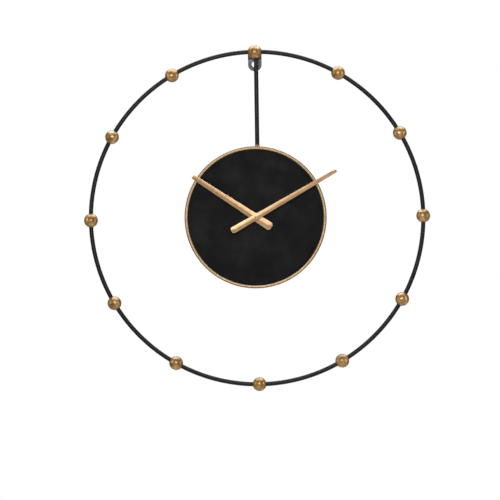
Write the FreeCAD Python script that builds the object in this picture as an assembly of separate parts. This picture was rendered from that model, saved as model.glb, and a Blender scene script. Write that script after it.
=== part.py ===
"""Open-ring wall clock with ball hour markers, a hanging disc dial and a quartz movement.

Millimetres. The origin is the centre of the hanging hole, on the wall side of the hanging tab.
+Y points into the wall, so the clock's front faces -Y. +Z is up, and +X is to the right as seen
from the front. Positions in the plane of the clock are given as (x, z) pairs.
"""
import FreeCAD, Part
import math
import os

Vec = FreeCAD.Vector
ALONG_Y = Vec(0, 1, 0)
TOLERANCE = 1e-6

# Ring, balls and rod
RING_RADIUS = 298.5
BAR_RADIUS = 3.9
BAR_GAP_DEG = 0.15
BALL_RADIUS = 12.5
BALL_COUNT = 12
BALL_HOLE_RADIUS = 4.06
PLANE_Y = -22.0
HOLE_BELOW_BAR = 21.6
RING_CENTRE = (0.0, HOLE_BELOW_BAR - RING_RADIUS)
ROD_X = 2.2

# Hanging tab: a strip bent back to the wall, with a round hole
TAB_WIDTH = 24.6
TAB_THICK = 2.0
TAB_HOLE_RADIUS = 5.5
TAB_TOP_Z = 27.0
TAB_UPPER_BACK_Y = -9.0
TAB_BEND_Z = 10.0
TAB_SLOPE = 0.6667
TAB_BEAD_OUTER = 10.3
TAB_BEAD_INNER = 8.1
TAB_BEAD_TOP_Z = 4.5
TAB_BEAD_HEIGHT = 0.5

# Dial: a gold hoop around a recessed plate
DIAL_CENTRE = (-2.7, RING_CENTRE[1] + 1.4)
RIM_RADIUS = 127.6
RIM_FACE_WIDTH = 5.2
RIM_DEPTH = 10.0
RIM_CROWN = 2.1
RIM_WALL = 2.4
PLATE_RECESS = 3.5
PLATE_THICK = 1.2
PLATE_HOLE_RADIUS = 4.15
WELD_RADIUS = 5.4
WELD_HEIGHT = 2.5
RIM_FRONT_Y = PLANE_Y - RIM_DEPTH / 2
FACE_Y = RIM_FRONT_Y + PLATE_RECESS
PLATE_BACK_Y = FACE_Y + PLATE_THICK
PLATE_RADIUS = RIM_RADIUS - RIM_WALL

# Stack that clamps the movement to the plate
RUBBER_RADIUS = 11.0
RUBBER_THICK = 1.0
WASHER_RADIUS = 8.0
WASHER_THICK = 0.5
NUT_ACROSS_FLATS = 11.0
NUT_THICK = 2.2
BUSHING_RADIUS = 4.0
BUSHING_PROUD = 4.1
THREAD_PITCH = 0.75
THREAD_DEPTH = 0.3
THREAD_GROOVE = 0.25
THREAD_TURNS = 2

# Movement case
CASE_HALF = 28.0
CASE_CORNER = 4.0
CASE_WALL = 1.2
CASE_DEPTH = 16.0
CASE_FRONT_Y = PLATE_BACK_Y + RUBBER_THICK
CASE_BACK_Y = CASE_FRONT_Y + CASE_DEPTH
FLOOR_Y = CASE_FRONT_Y + CASE_WALL
COVER_THICK = 1.2
COVER_Y = CASE_BACK_Y - COVER_THICK
PARTITION_TOP_Z = -10.6
PARTITION_THICK = 1.0
COVER_LEG_LENGTH = 5.0
COVER_LEG_WIDTH = 6.0
COVER_LEG_THICK = 1.0
COVER_LEG_Z = 5.0
POST_RADIUS = 2.0
POSTS = ((-23.0, -8.0), (21.0, -8.0), (8.0, 12.5))
BOARD_POSTS = ((14.5, 23.5), (23.0, 13.5))
PLATE_Y = (-9.4, -8.4)
MIDDLE_PLATE_X = (-25.0, 23.2)
MIDDLE_PLATE_Z = (-10.0, 18.2)

# Battery, size AA
BATTERY_RADIUS = 7.25
BATTERY_LENGTH = 49.2
BATTERY_NUB_RADIUS = 2.75
BATTERY_NUB_LENGTH = 1.3
BATTERY_X = -25.5
BATTERY_Y = -12.6
BATTERY_Z = -19.2
BATTERY_EDGE = 0.8
CONTACT_THICK = 0.4
CONTACT_HALF = 4.5
CONTACT_GAP = 0.1

# Gears. The arbors stand in the (x, z) plane of the movement, measured from the hands' axis.
TOOTH_TIP_SHARE = 0.09
TOOTH_ROOT_SHARE = 0.25
ADDENDUM = 0.80
DEDENDUM = 1.05
RUNNING = 0.05
END_PLAY = 0.1
ARBOR_RADIUS = 0.5
SECOND_ARBOR_RADIUS = 0.55
BOSS_RADIUS = 1.3

MINUTE_PINION_TEETH = 12
MOTION_WHEEL_TEETH = 36
MOTION_PINION_TEETH = 10
HOUR_WHEEL_TEETH = 40
SET_WHEEL_TEETH = 18
CENTRE_WHEEL_TEETH = 64
THIRD_PINION_TEETH = 8
THIRD_WHEEL_TEETH = 60
SECOND_PINION_TEETH = 8
SECOND_WHEEL_TEETH = 60
FIFTH_PINION_TEETH = 12
FIFTH_WHEEL_TEETH = 60
ROTOR_PINION_TEETH = 10

MOTION_DISTANCE = 8.4
THIRD_DISTANCE = 9.0
FIFTH_DISTANCE = 9.3
ROTOR_DISTANCE = 7.0
MOTION_DIRECTION_DEG = 180.0
SET_DIRECTION_DEG = 150.0
THIRD_DIRECTION_DEG = 0.0
FIFTH_DIRECTION_DEG = 120.0
ROTOR_DIRECTION_DEG = 120.0

# Levels of the wheels along Y
HOUR_WHEEL_Y = (-19.8, -19.0)
MOTION_PINION_Y = (-19.9, -18.4)
MOTION_WHEEL_Y = (-18.4, -17.6)
MOTION_STUB_Y = -17.2
MINUTE_PINION_Y = (-18.5, -17.5)
SET_WHEEL_Y = (-18.4, -17.6)
CENTRE_WHEEL_Y = (-16.6, -16.0)
THIRD_PINION_Y = (-16.9, -15.6)
MINUTE_TUBE_BACK_Y = -15.5
THIRD_WHEEL_Y = (-14.8, -14.2)
SECOND_PINION_Y = (-15.2, -13.6)
SECOND_WHEEL_Y = (-12.8, -12.2)
FIFTH_PINION_Y = (-13.1, -11.9)
FIFTH_WHEEL_Y = (-10.8, -10.3)
ROTOR_PINION_Y = (-11.1, -10.0)
MAGNET_Y = (-14.6, -12.2)
MAGNET_CLEARANCE = 0.4
STATOR_Y = (-13.8, -13.0)

# Motor and board
MAGNET_RADIUS = 3.0
STATOR_BORE = 3.4
STATOR_BAR_HALF = 3.9
STATOR_ARM_X = (-22.2, 5.8)
STATOR_ARM_WIDTH = 4.0
STATOR_TOP_Z = 24.6
COIL_Z = 22.4
COIL_X = (-17.6, 1.2)
COIL_FLANGE = 1.0
COIL_FLANGE_RADIUS = 3.6
COIL_WIRE_RADIUS = 3.2
COIL_CORE_RADIUS = 1.6
STATOR_SCREW_RADIUS = 1.1
STATOR_SCREW_HEAD_RADIUS = 1.8
STATOR_SCREW_HEAD = 0.9
BOARD_X = (12.0, 25.6)
BOARD_Z = (11.0, 26.0)
BOARD_Y = (-12.5, -11.7)
CHIP_CENTRE = (18.5, 20.5)
CHIP_RADIUS = 2.6
CHIP_HEIGHT = 1.2
CHIP_EDGE = 0.95
CRYSTAL_START = (15.5, 13.2)
CRYSTAL_LENGTH = 6.0
CRYSTAL_RADIUS = 1.0

# Set knob
SET_SHAFT_RADIUS = 1.0
KNOB_RADIUS = 4.5
KNOB_Y = (-5.0, -2.6)
KNOB_NOTCHES = 20
KNOB_NOTCH_RADIUS = 0.35
KNOB_HOLE_CLEARANCE = 0.25

# Hands and their tubes
HOUR_TUBE_RADIUS = 2.5
HOUR_TUBE_CLEARANCE = 0.06
HOUR_TUBE_FRONT_Y = -37.3
MINUTE_TUBE_RADIUS = 1.6
MINUTE_BORE_DEPTH_Y = -22.0
MINUTE_TUBE_FRONT_Y = -44.4
HAND_NUT_RADIUS = 2.4
FRONT_Y = -45.0
HAND_EDGE = 0.6
HAND_RIDGE = 1.7
HOUR_HAND = {
    "angle_deg": -56.2, "back_y": -35.0, "hub_radius": 4.6, "hub_y": (-36.9, -33.8),
    "tail": (33.8, 15.1), "knee": (40.0, 11.4), "tip": (135.2, 8.5), "corner": 3.4,
}
MINUTE_HAND = {
    "angle_deg": 60.7, "back_y": -40.4, "hub_radius": 3.6, "hub_y": (-42.3, -39.4),
    "tail": (49.6, 11.9), "knee": (36.0, 9.5), "tip": (167.5, 6.4), "corner": 2.6,
}


def at(point, y):
    """A point of the clock's plane, given as (x, z), at depth y."""
    return Vec(point[0], y, point[1])


def from_dial(point):
    """Moves an (x, z) point measured from the hands' axis into the clock's frame."""
    return (DIAL_CENTRE[0] + point[0], DIAL_CENTRE[1] + point[1])


def polar(origin, distance, angle_deg):
    """A point at a distance and an angle from +X toward +Z."""
    angle = math.radians(angle_deg)
    return (origin[0] + distance * math.cos(angle), origin[1] + distance * math.sin(angle))


def disc(radius, span, point):
    """A cylinder along Y between the two depths of span."""
    return Part.makeCylinder(radius, span[1] - span[0], at(point, span[0]), ALONG_Y)


def collar(outer, inner, span, point):
    """A cylinder along Y with a round hole through it."""
    return disc(outer, span, point).cut(disc(inner, span, point))


def block(x_span, y_span, z_span):
    """A box between three pairs of limits."""
    corner = Vec(x_span[0], y_span[0], z_span[0])
    return Part.makeBox(x_span[1] - x_span[0], y_span[1] - y_span[0], z_span[1] - z_span[0], corner)


def dial_block(x_span, y_span, z_span):
    """A box whose x and z limits are measured from the hands' axis."""
    solid = block(x_span, y_span, z_span)
    solid.translate(at(DIAL_CENTRE, 0))
    return solid


def prism(points, span):
    """A polygon of the clock's plane, extruded between the two depths of span."""
    corners = [at(point, span[0]) for point in points]
    face = Part.Face(Part.makePolygon(corners + corners[:1]))
    return face.extrude(Vec(0, span[1] - span[0], 0))


def turned(edges, point):
    """A closed profile of (distance from the axis, depth) edges, revolved about Y through point."""
    face = Part.Face(Part.Wire(edges))
    return face.revolve(at(point, 0), ALONG_Y, 360)


def fuse(solids):
    """One solid out of several that touch or overlap."""
    return solids[0].multiFuse(solids[1:]).removeSplitter()


def round_corners(solid, radius):
    """Rounds every straight edge of a block that runs along Y."""
    upright = []
    for edge in solid.Edges:
        start, end = edge.Vertexes[0].Point, edge.Vertexes[-1].Point
        if abs(start.x - end.x) + abs(start.z - end.z) < TOLERANCE:
            upright.append(edge)
    return solid.makeFillet(radius, upright)


def top_ball_centre():
    """The centre of the ball at twelve, set inward so that its straight hole takes the curved bar."""
    sagitta = BALL_RADIUS ** 2 / (2 * RING_RADIUS)
    return at((RING_CENTRE[0], RING_CENTRE[1] + RING_RADIUS - sagitta / 2), PLANE_Y)


# Frame

def ring_bar(gap_deg):
    """The bar's centre circle swept by its section, open by gap_deg at the top."""
    start = polar(RING_CENTRE, RING_RADIUS, 90 - gap_deg / 2)
    angle = math.radians(90 - gap_deg / 2)
    tangent = Vec(-math.sin(angle), 0, math.cos(angle))
    section = Part.Face(Part.Wire(Part.makeCircle(BAR_RADIUS, at(start, PLANE_Y), tangent)))
    return section.revolve(at(RING_CENTRE, PLANE_Y), ALONG_Y, 360 - gap_deg)


def hour_ball(hour):
    """A ball turned about its straight hole, then moved round the ring to its hour."""
    centre = top_ball_centre()
    mouth = math.sqrt(BALL_RADIUS ** 2 - BALL_HOLE_RADIUS ** 2)
    left = centre + Vec(-mouth, BALL_HOLE_RADIUS, 0)
    right = centre + Vec(mouth, BALL_HOLE_RADIUS, 0)
    outside = Part.Arc(left, centre + Vec(0, BALL_RADIUS, 0), right).toShape()
    wall = Part.LineSegment(right, left).toShape()
    ball = Part.Face(Part.Wire([outside, wall])).revolve(centre, Vec(1, 0, 0), 360)
    ball.rotate(at(RING_CENTRE, PLANE_Y), ALONG_Y, hour * 360 / BALL_COUNT)
    return ball


def hanger_rod():
    """A rod coped to the underside of the top ball and to the outside of the dial's hoop."""
    bottom_z = DIAL_CENTRE[1] + RIM_RADIUS - WELD_HEIGHT
    rod = Part.makeCylinder(BAR_RADIUS, -bottom_z + BALL_RADIUS, Vec(ROD_X, PLANE_Y, bottom_z))
    top_ball = Part.makeSphere(BALL_RADIUS, top_ball_centre())
    hoop = disc(RIM_RADIUS, (RIM_FRONT_Y, RIM_FRONT_Y + RIM_DEPTH), DIAL_CENTRE)
    return rod.cut(top_ball).cut(hoop)


def tab_side():
    """The tab's side view, a strip with two bends, as a slab across its full width."""
    front_lag = TAB_THICK * math.sqrt(1 + TAB_SLOPE ** 2)
    bottom = -TAB_WIDTH / 2
    upper_front_y = TAB_UPPER_BACK_Y - TAB_THICK
    back_bend = TAB_BEND_Z - TAB_UPPER_BACK_Y * TAB_SLOPE
    outline = [
        (0, bottom), (0, TAB_BEND_Z), (TAB_UPPER_BACK_Y, back_bend), (TAB_UPPER_BACK_Y, TAB_TOP_Z),
        (upper_front_y, TAB_TOP_Z),
        (upper_front_y, TAB_BEND_Z - upper_front_y * TAB_SLOPE - front_lag),
        (-TAB_THICK, TAB_BEND_Z + TAB_THICK * TAB_SLOPE - front_lag),
        (-TAB_THICK, bottom),
    ]
    corners = [Vec(-TAB_WIDTH / 2, y, z) for y, z in outline]
    face = Part.Face(Part.makePolygon(corners + corners[:1]))
    return face.extrude(Vec(TAB_WIDTH, 0, 0))


def tab_bead():
    """A raised U-shaped bead pressed around the hole."""
    span = (-TAB_THICK - TAB_BEAD_HEIGHT, -TAB_THICK)
    legs = (-TAB_BEAD_OUTER, TAB_BEAD_OUTER)
    outer = fuse([disc(TAB_BEAD_OUTER, span, (0, 0)), block(legs, span, (0, TAB_BEAD_TOP_Z))])
    gap = (-TAB_BEAD_INNER, TAB_BEAD_INNER)
    inner = fuse([disc(TAB_BEAD_INNER, span, (0, 0)), block(gap, span, (0, TAB_TOP_Z))])
    below_top = block(legs, span, (-TAB_WIDTH, TAB_BEAD_TOP_Z))
    return outer.cut(inner).common(below_top)


def hanging_tab():
    """The strip with its round lower end, hole and bead, dished where it meets the top ball."""
    half = TAB_WIDTH / 2
    depth = (TAB_UPPER_BACK_Y - TAB_THICK, 0)
    outline = fuse([disc(half, depth, (0, 0)), block((-half, half), depth, (0, TAB_TOP_Z))])
    strip = tab_side().common(outline)
    hole = disc(TAB_HOLE_RADIUS, (-TAB_THICK - TAB_BEAD_HEIGHT, 0), (0, 0))
    top_ball = Part.makeSphere(BALL_RADIUS, top_ball_centre())
    return fuse([strip, tab_bead()]).cut(hole).cut(top_ball)


# Dial

def dial_rim():
    """A hoop with a crowned front and a rebate behind its lip, and the rod's weld on top."""
    back_y = RIM_FRONT_Y + RIM_DEPTH
    crown_y = RIM_FRONT_Y + RIM_CROWN
    lip_radius = RIM_RADIUS - RIM_FACE_WIDTH
    corners = [
        (lip_radius, crown_y), (lip_radius, FACE_Y), (PLATE_RADIUS, FACE_Y),
        (PLATE_RADIUS, back_y), (RIM_RADIUS, back_y), (RIM_RADIUS, crown_y),
    ]
    points = [at((DIAL_CENTRE[0] + radius, DIAL_CENTRE[1]), y) for radius, y in corners]
    crest = at((DIAL_CENTRE[0] + RIM_RADIUS - RIM_FACE_WIDTH / 2, DIAL_CENTRE[1]), RIM_FRONT_Y)
    edges = [Part.LineSegment(a, b).toShape() for a, b in zip(points, points[1:])]
    edges.append(Part.Arc(points[-1], crest, points[0]).toShape())
    hoop = turned(edges, DIAL_CENTRE)
    weld_z = DIAL_CENTRE[1] + RIM_RADIUS - RIM_WALL / 2
    weld_top = WELD_HEIGHT + RIM_WALL / 2
    weld = Part.makeCone(WELD_RADIUS, BAR_RADIUS + RUNNING, weld_top, Vec(ROD_X, PLANE_Y, weld_z))
    return fuse([hoop, weld]).cut(hanger_rod())


def dial_plate():
    """The recessed face plate, held behind the hoop's lip."""
    return collar(PLATE_RADIUS, PLATE_HOLE_RADIUS, (FACE_Y, PLATE_BACK_Y), DIAL_CENTRE)


def rubber_washer():
    """A soft washer between the plate and the movement."""
    return collar(RUBBER_RADIUS, BUSHING_RADIUS, (PLATE_BACK_Y, CASE_FRONT_Y), DIAL_CENTRE)


def dial_washer():
    """A thin brass washer under the nut."""
    return collar(WASHER_RADIUS, BUSHING_RADIUS, (FACE_Y - WASHER_THICK, FACE_Y), DIAL_CENTRE)


def fixing_nut():
    """A thin hexagon nut that clamps the movement to the plate."""
    back_y = FACE_Y - WASHER_THICK
    span = (back_y - NUT_THICK, back_y)
    corner_radius = NUT_ACROSS_FLATS / 2 / math.cos(math.pi / 6)
    corners = [polar(DIAL_CENTRE, corner_radius, 60 * side) for side in range(6)]
    return prism(corners, span).cut(disc(BUSHING_RADIUS, span, DIAL_CENTRE))


def threaded_bushing():
    """The threaded neck of the movement, with the first turns of its thread as grooves."""
    front_y = FACE_Y - BUSHING_PROUD
    bore = HOUR_TUBE_RADIUS + HOUR_TUBE_CLEARANCE
    neck = collar(BUSHING_RADIUS, bore, (front_y, FLOOR_Y), DIAL_CENTRE)
    root = BUSHING_RADIUS - THREAD_DEPTH
    for turn in range(THREAD_TURNS):
        y = front_y + THREAD_GROOVE + turn * THREAD_PITCH
        groove = (y, y + THREAD_GROOVE)
        neck = neck.cut(collar(BUSHING_RADIUS + 1, root, groove, DIAL_CENTRE))
    return neck


# Arbor positions in the clock's frame

CENTRE_AXIS = DIAL_CENTRE
MOTION_AXIS = polar(CENTRE_AXIS, MOTION_DISTANCE, MOTION_DIRECTION_DEG)
THIRD_AXIS = polar(CENTRE_AXIS, THIRD_DISTANCE, THIRD_DIRECTION_DEG)
FIFTH_AXIS = polar(CENTRE_AXIS, FIFTH_DISTANCE, FIFTH_DIRECTION_DEG)
ROTOR_AXIS = polar(FIFTH_AXIS, ROTOR_DISTANCE, ROTOR_DIRECTION_DEG)


def module(distance, teeth_a, teeth_b):
    """The tooth size that puts two meshing gears at a centre distance."""
    return 2 * distance / (teeth_a + teeth_b)


MINUTE_MODULE = module(MOTION_DISTANCE, MINUTE_PINION_TEETH, MOTION_WHEEL_TEETH)
HOUR_MODULE = module(MOTION_DISTANCE, MOTION_PINION_TEETH, HOUR_WHEEL_TEETH)
CENTRE_MODULE = module(THIRD_DISTANCE, CENTRE_WHEEL_TEETH, THIRD_PINION_TEETH)
THIRD_MODULE = module(THIRD_DISTANCE, THIRD_WHEEL_TEETH, SECOND_PINION_TEETH)
FIFTH_MODULE = module(FIFTH_DISTANCE, FIFTH_PINION_TEETH, SECOND_WHEEL_TEETH)
ROTOR_MODULE = module(ROTOR_DISTANCE, ROTOR_PINION_TEETH, FIFTH_WHEEL_TEETH)
SET_DISTANCE = MINUTE_MODULE * (MOTION_WHEEL_TEETH + SET_WHEEL_TEETH) / 2
SET_AXIS = polar(MOTION_AXIS, SET_DISTANCE, SET_DIRECTION_DEG)


def mesh_phase(driver_teeth, driver_phase_deg, driven_teeth, direction_deg):
    """The angle that a gear is turned to, so that its gap faces its neighbour's tooth.

    direction_deg is the direction from the driver's axis to the driven gear's axis.
    """
    pitch = 360 / driver_teeth
    tooth_share = ((direction_deg - driver_phase_deg) / pitch) % 1
    return direction_deg + 180 - (0.5 - tooth_share) * 360 / driven_teeth


MOTION_WHEEL_PHASE = mesh_phase(MINUTE_PINION_TEETH, 0, MOTION_WHEEL_TEETH, MOTION_DIRECTION_DEG)
SET_WHEEL_PHASE = mesh_phase(
    MOTION_WHEEL_TEETH, MOTION_WHEEL_PHASE, SET_WHEEL_TEETH, SET_DIRECTION_DEG)
HOUR_WHEEL_PHASE = mesh_phase(MOTION_PINION_TEETH, 0, HOUR_WHEEL_TEETH, MOTION_DIRECTION_DEG + 180)
THIRD_WHEEL_PHASE = mesh_phase(SECOND_PINION_TEETH, 0, THIRD_WHEEL_TEETH, THIRD_DIRECTION_DEG)
CENTRE_WHEEL_PHASE = mesh_phase(
    THIRD_PINION_TEETH, 0, CENTRE_WHEEL_TEETH, THIRD_DIRECTION_DEG + 180)
FIFTH_PINION_PHASE = mesh_phase(SECOND_WHEEL_TEETH, 0, FIFTH_PINION_TEETH, FIFTH_DIRECTION_DEG)
ROTOR_PINION_PHASE = mesh_phase(FIFTH_WHEEL_TEETH, 0, ROTOR_PINION_TEETH, ROTOR_DIRECTION_DEG)


def gear(teeth, size, axis, phase_deg, span):
    """A toothed disc with tapered teeth and generous backlash."""
    pitch_radius = teeth * size / 2
    root = pitch_radius - DEDENDUM * size
    tip = pitch_radius + ADDENDUM * size
    step = 360 / teeth
    outline = []
    for tooth in range(teeth):
        middle = phase_deg + tooth * step
        outline.append(polar(axis, root, middle - TOOTH_ROOT_SHARE * step))
        outline.append(polar(axis, tip, middle - TOOTH_TIP_SHARE * step))
        outline.append(polar(axis, tip, middle + TOOTH_TIP_SHARE * step))
        outline.append(polar(axis, root, middle + TOOTH_ROOT_SHARE * step))
    return prism(outline, span)


def arbor(axis, radius=ARBOR_RADIUS):
    """A plain arbor from its blind bearing in the case to its bearing in the middle plate."""
    return disc(radius, (CASE_FRONT_Y + CASE_WALL / 2 + END_PLAY, PLATE_Y[1] - END_PLAY), axis)


# Movement case

def bearing_holes():
    """The blind holes in the case floor that the arbors turn in."""
    span = (CASE_FRONT_Y + CASE_WALL / 2, COVER_Y)
    return [disc(ARBOR_RADIUS + RUNNING, span, axis)
            for axis in (MOTION_AXIS, THIRD_AXIS, FIFTH_AXIS, ROTOR_AXIS)]


def case_supports():
    """The posts under the middle plate and the board, and the arbors' bosses."""
    supports = [disc(POST_RADIUS, (FLOOR_Y, PLATE_Y[0]), from_dial(post)) for post in POSTS]
    supports += [disc(POST_RADIUS, (FLOOR_Y, BOARD_Y[0]), from_dial(post)) for post in BOARD_POSTS]
    boss_span = (FLOOR_Y, HOUR_WHEEL_Y[1])
    supports += [disc(BOSS_RADIUS, boss_span, axis) for axis in (THIRD_AXIS, FIFTH_AXIS)]
    rotor_boss = (FLOOR_Y, MAGNET_Y[0] - MAGNET_CLEARANCE)
    supports.append(disc(BOSS_RADIUS, rotor_boss, ROTOR_AXIS))
    return supports


def movement_front_case():
    """A tray open to the wall, with a partition between the wheels and the battery trough."""
    full = (-CASE_HALF, CASE_HALF)
    inside = (-CASE_HALF + CASE_WALL, CASE_HALF - CASE_WALL)
    shell = round_corners(dial_block(full, (CASE_FRONT_Y, COVER_Y), full), CASE_CORNER)
    hollow = dial_block(inside, (FLOOR_Y, COVER_Y), inside)
    hollow = round_corners(hollow, CASE_CORNER - CASE_WALL)
    partition_z = (PARTITION_TOP_Z - PARTITION_THICK, PARTITION_TOP_Z)
    partition = dial_block(inside, (FLOOR_Y, COVER_Y), partition_z)
    case = fuse([shell.cut(hollow), partition] + case_supports())
    set_bearing = disc(SET_SHAFT_RADIUS + RUNNING, (CASE_FRONT_Y + CASE_WALL / 2, COVER_Y), SET_AXIS)
    neck = disc(BUSHING_RADIUS, (CASE_FRONT_Y, FLOOR_Y), DIAL_CENTRE)
    for hole in bearing_holes() + [set_bearing, neck]:
        case = case.cut(hole)
    return case


def movement_back_cover():
    """A lid over the wheels with two legs that snap inside the case walls."""
    full = (-CASE_HALF, CASE_HALF)
    lid = round_corners(dial_block(full, (COVER_Y, CASE_BACK_Y), full), CASE_CORNER)
    over_wheels = (PARTITION_TOP_Z - PARTITION_THICK, CASE_HALF)
    lid = lid.common(dial_block(full, (COVER_Y, CASE_BACK_Y), over_wheels))
    leg_z = (COVER_LEG_Z, COVER_LEG_Z + COVER_LEG_WIDTH)
    leg_y = (COVER_Y - COVER_LEG_LENGTH, COVER_Y)
    wall = CASE_HALF - CASE_WALL
    left_leg = dial_block((-wall, -wall + COVER_LEG_THICK), leg_y, leg_z)
    right_leg = dial_block((wall - COVER_LEG_THICK, wall), leg_y, leg_z)
    knob_hole = disc(SET_SHAFT_RADIUS + KNOB_HOLE_CLEARANCE, (COVER_Y, CASE_BACK_Y), SET_AXIS)
    return fuse([lid, left_leg, right_leg]).cut(knob_hole)


def middle_plate():
    """The plate that holds the back ends of the arbors."""
    plate = dial_block(MIDDLE_PLATE_X, PLATE_Y, MIDDLE_PLATE_Z)
    holes = [disc(ARBOR_RADIUS + RUNNING, PLATE_Y, axis)
             for axis in (THIRD_AXIS, FIFTH_AXIS, ROTOR_AXIS)]
    holes.append(disc(SECOND_ARBOR_RADIUS + RUNNING, PLATE_Y, CENTRE_AXIS))
    holes.append(disc(SET_SHAFT_RADIUS + RUNNING, PLATE_Y, SET_AXIS))
    for hole in holes:
        plate = plate.cut(hole)
    return plate


# Battery and its contacts

def along_x(radius, x_span, y, z):
    """A cylinder along X, with x and z measured from the hands' axis."""
    start = Vec(DIAL_CENTRE[0] + x_span[0], y, DIAL_CENTRE[1] + z)
    return Part.makeCylinder(radius, x_span[1] - x_span[0], start, Vec(1, 0, 0))


def battery():
    """A size AA cell with its nub to the right."""
    end_x = BATTERY_X + BATTERY_LENGTH
    can = along_x(BATTERY_RADIUS, (BATTERY_X, end_x), BATTERY_Y, BATTERY_Z)
    can = can.makeFillet(BATTERY_EDGE, [edge for edge in can.Edges if edge.isClosed()])
    nub_span = (end_x - BATTERY_EDGE, end_x + BATTERY_NUB_LENGTH)
    return fuse([can, along_x(BATTERY_NUB_RADIUS, nub_span, BATTERY_Y, BATTERY_Z)])


def contact_leaf(wall_x, touch_x):
    """A sheet contact bowed from the trough's end wall toward the battery."""
    into_trough = 1 if touch_x > wall_x else -1
    thick = CONTACT_THICK * into_trough
    foot = CONTACT_HALF
    front = [(wall_x, BATTERY_Z - foot), (touch_x - thick, BATTERY_Z), (wall_x, BATTERY_Z + foot)]
    back = [(x + thick, z) for x, z in reversed(front)]
    outline = [from_dial(point) for point in front + back]
    return prism(outline, (BATTERY_Y - CONTACT_HALF / 2, BATTERY_Y + CONTACT_HALF / 2))


def negative_contact():
    """The bowed spring leaf at the cell's flat end."""
    return contact_leaf(-CASE_HALF + CASE_WALL, BATTERY_X - CONTACT_GAP)


def positive_contact():
    """The bowed leaf at the cell's nub."""
    nub_x = BATTERY_X + BATTERY_LENGTH + BATTERY_NUB_LENGTH
    return contact_leaf(CASE_HALF - CASE_WALL, nub_x + CONTACT_GAP)


# Motor and board

def coil_bobbin():
    """The coil's reel: a hollow core with a flange at each end."""
    core = along_x(COIL_CORE_RADIUS, COIL_X, coil_y(), COIL_Z)
    left = (COIL_X[0], COIL_X[0] + COIL_FLANGE)
    right = (COIL_X[1] - COIL_FLANGE, COIL_X[1])
    flanges = [along_x(COIL_FLANGE_RADIUS, span, coil_y(), COIL_Z) for span in (left, right)]
    return fuse([core] + flanges).cut(stator_core())


def coil_winding():
    """The wire, wound between the flanges."""
    span = (COIL_X[0] + COIL_FLANGE, COIL_X[1] - COIL_FLANGE)
    wire = along_x(COIL_WIRE_RADIUS, span, coil_y(), COIL_Z)
    return wire.cut(along_x(COIL_CORE_RADIUS, span, coil_y(), COIL_Z))


def coil_y():
    """The coil lies at the middle of the stator's thickness."""
    return (STATOR_Y[0] + STATOR_Y[1]) / 2


def stator_core():
    """The part of the stator that runs through the bobbin."""
    half = (STATOR_Y[1] - STATOR_Y[0]) / 2
    return dial_block(STATOR_ARM_X, STATOR_Y, (COIL_Z - half, COIL_Z + half))


def stator():
    """A soft-iron frame through the coil and around the rotor."""
    rotor_z = ROTOR_AXIS[1] - DIAL_CENTRE[1]
    arm_z = (rotor_z - STATOR_BAR_HALF, STATOR_TOP_Z)
    left, right = STATOR_ARM_X
    arms = [
        dial_block((left, left + STATOR_ARM_WIDTH), STATOR_Y, arm_z),
        dial_block((right - STATOR_ARM_WIDTH, right), STATOR_Y, arm_z),
    ]
    bar_z = (rotor_z - STATOR_BAR_HALF, rotor_z + STATOR_BAR_HALF)
    bar = dial_block(STATOR_ARM_X, STATOR_Y, bar_z)
    frame = fuse(arms + [bar, stator_core()])
    for hole in [disc(STATOR_BORE, STATOR_Y, ROTOR_AXIS)] + stator_screw_shanks():
        frame = frame.cut(hole)
    return frame


def screw_points():
    """The places of the two screws, at the tops of the stator's arms."""
    half = STATOR_ARM_WIDTH / 2
    return [from_dial((x, COIL_Z)) for x in (STATOR_ARM_X[0] + half, STATOR_ARM_X[1] - half)]


def stator_screw_shanks():
    """Both screws' shanks, from the case floor to the top of the stator."""
    return [disc(STATOR_SCREW_RADIUS, (FLOOR_Y, STATOR_Y[1]), point) for point in screw_points()]


def stator_screws():
    """Two screws that hold the stator to the case floor."""
    head_span = (STATOR_Y[1], STATOR_Y[1] + STATOR_SCREW_HEAD)
    heads = [disc(STATOR_SCREW_HEAD_RADIUS, head_span, point) for point in screw_points()]
    return Part.makeCompound([fuse(list(pair)) for pair in zip(stator_screw_shanks(), heads)])


def circuit_board():
    """The board that carries the crystal and the chip."""
    return dial_block(BOARD_X, BOARD_Y, BOARD_Z)


def chip_cover():
    """The round drop of resin over the chip."""
    span = (BOARD_Y[1], BOARD_Y[1] + CHIP_HEIGHT)
    drop = disc(CHIP_RADIUS, span, from_dial(CHIP_CENTRE))
    rim = [edge for edge in drop.Edges if abs(edge.CenterOfMass.y - span[1]) < TOLERANCE]
    return drop.makeFillet(CHIP_EDGE, rim)


def crystal_can():
    """The quartz crystal's metal can, lying on the board."""
    start_x, z = CRYSTAL_START
    span = (start_x, start_x + CRYSTAL_LENGTH)
    return along_x(CRYSTAL_RADIUS, span, BOARD_Y[1] + CRYSTAL_RADIUS, z)


# Going train

def rotor():
    """The rotor's arbor and pinion."""
    pinion = gear(ROTOR_PINION_TEETH, ROTOR_MODULE, ROTOR_AXIS, ROTOR_PINION_PHASE, ROTOR_PINION_Y)
    return fuse([arbor(ROTOR_AXIS), pinion])


def rotor_magnet():
    """The disc magnet on the rotor's arbor."""
    return collar(MAGNET_RADIUS, ARBOR_RADIUS, MAGNET_Y, ROTOR_AXIS)


def fifth_wheel():
    """The wheel driven by the rotor."""
    wheel = gear(FIFTH_WHEEL_TEETH, ROTOR_MODULE, FIFTH_AXIS, 0, FIFTH_WHEEL_Y)
    pinion = gear(FIFTH_PINION_TEETH, FIFTH_MODULE, FIFTH_AXIS, FIFTH_PINION_PHASE, FIFTH_PINION_Y)
    return fuse([arbor(FIFTH_AXIS), wheel, pinion])


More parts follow.
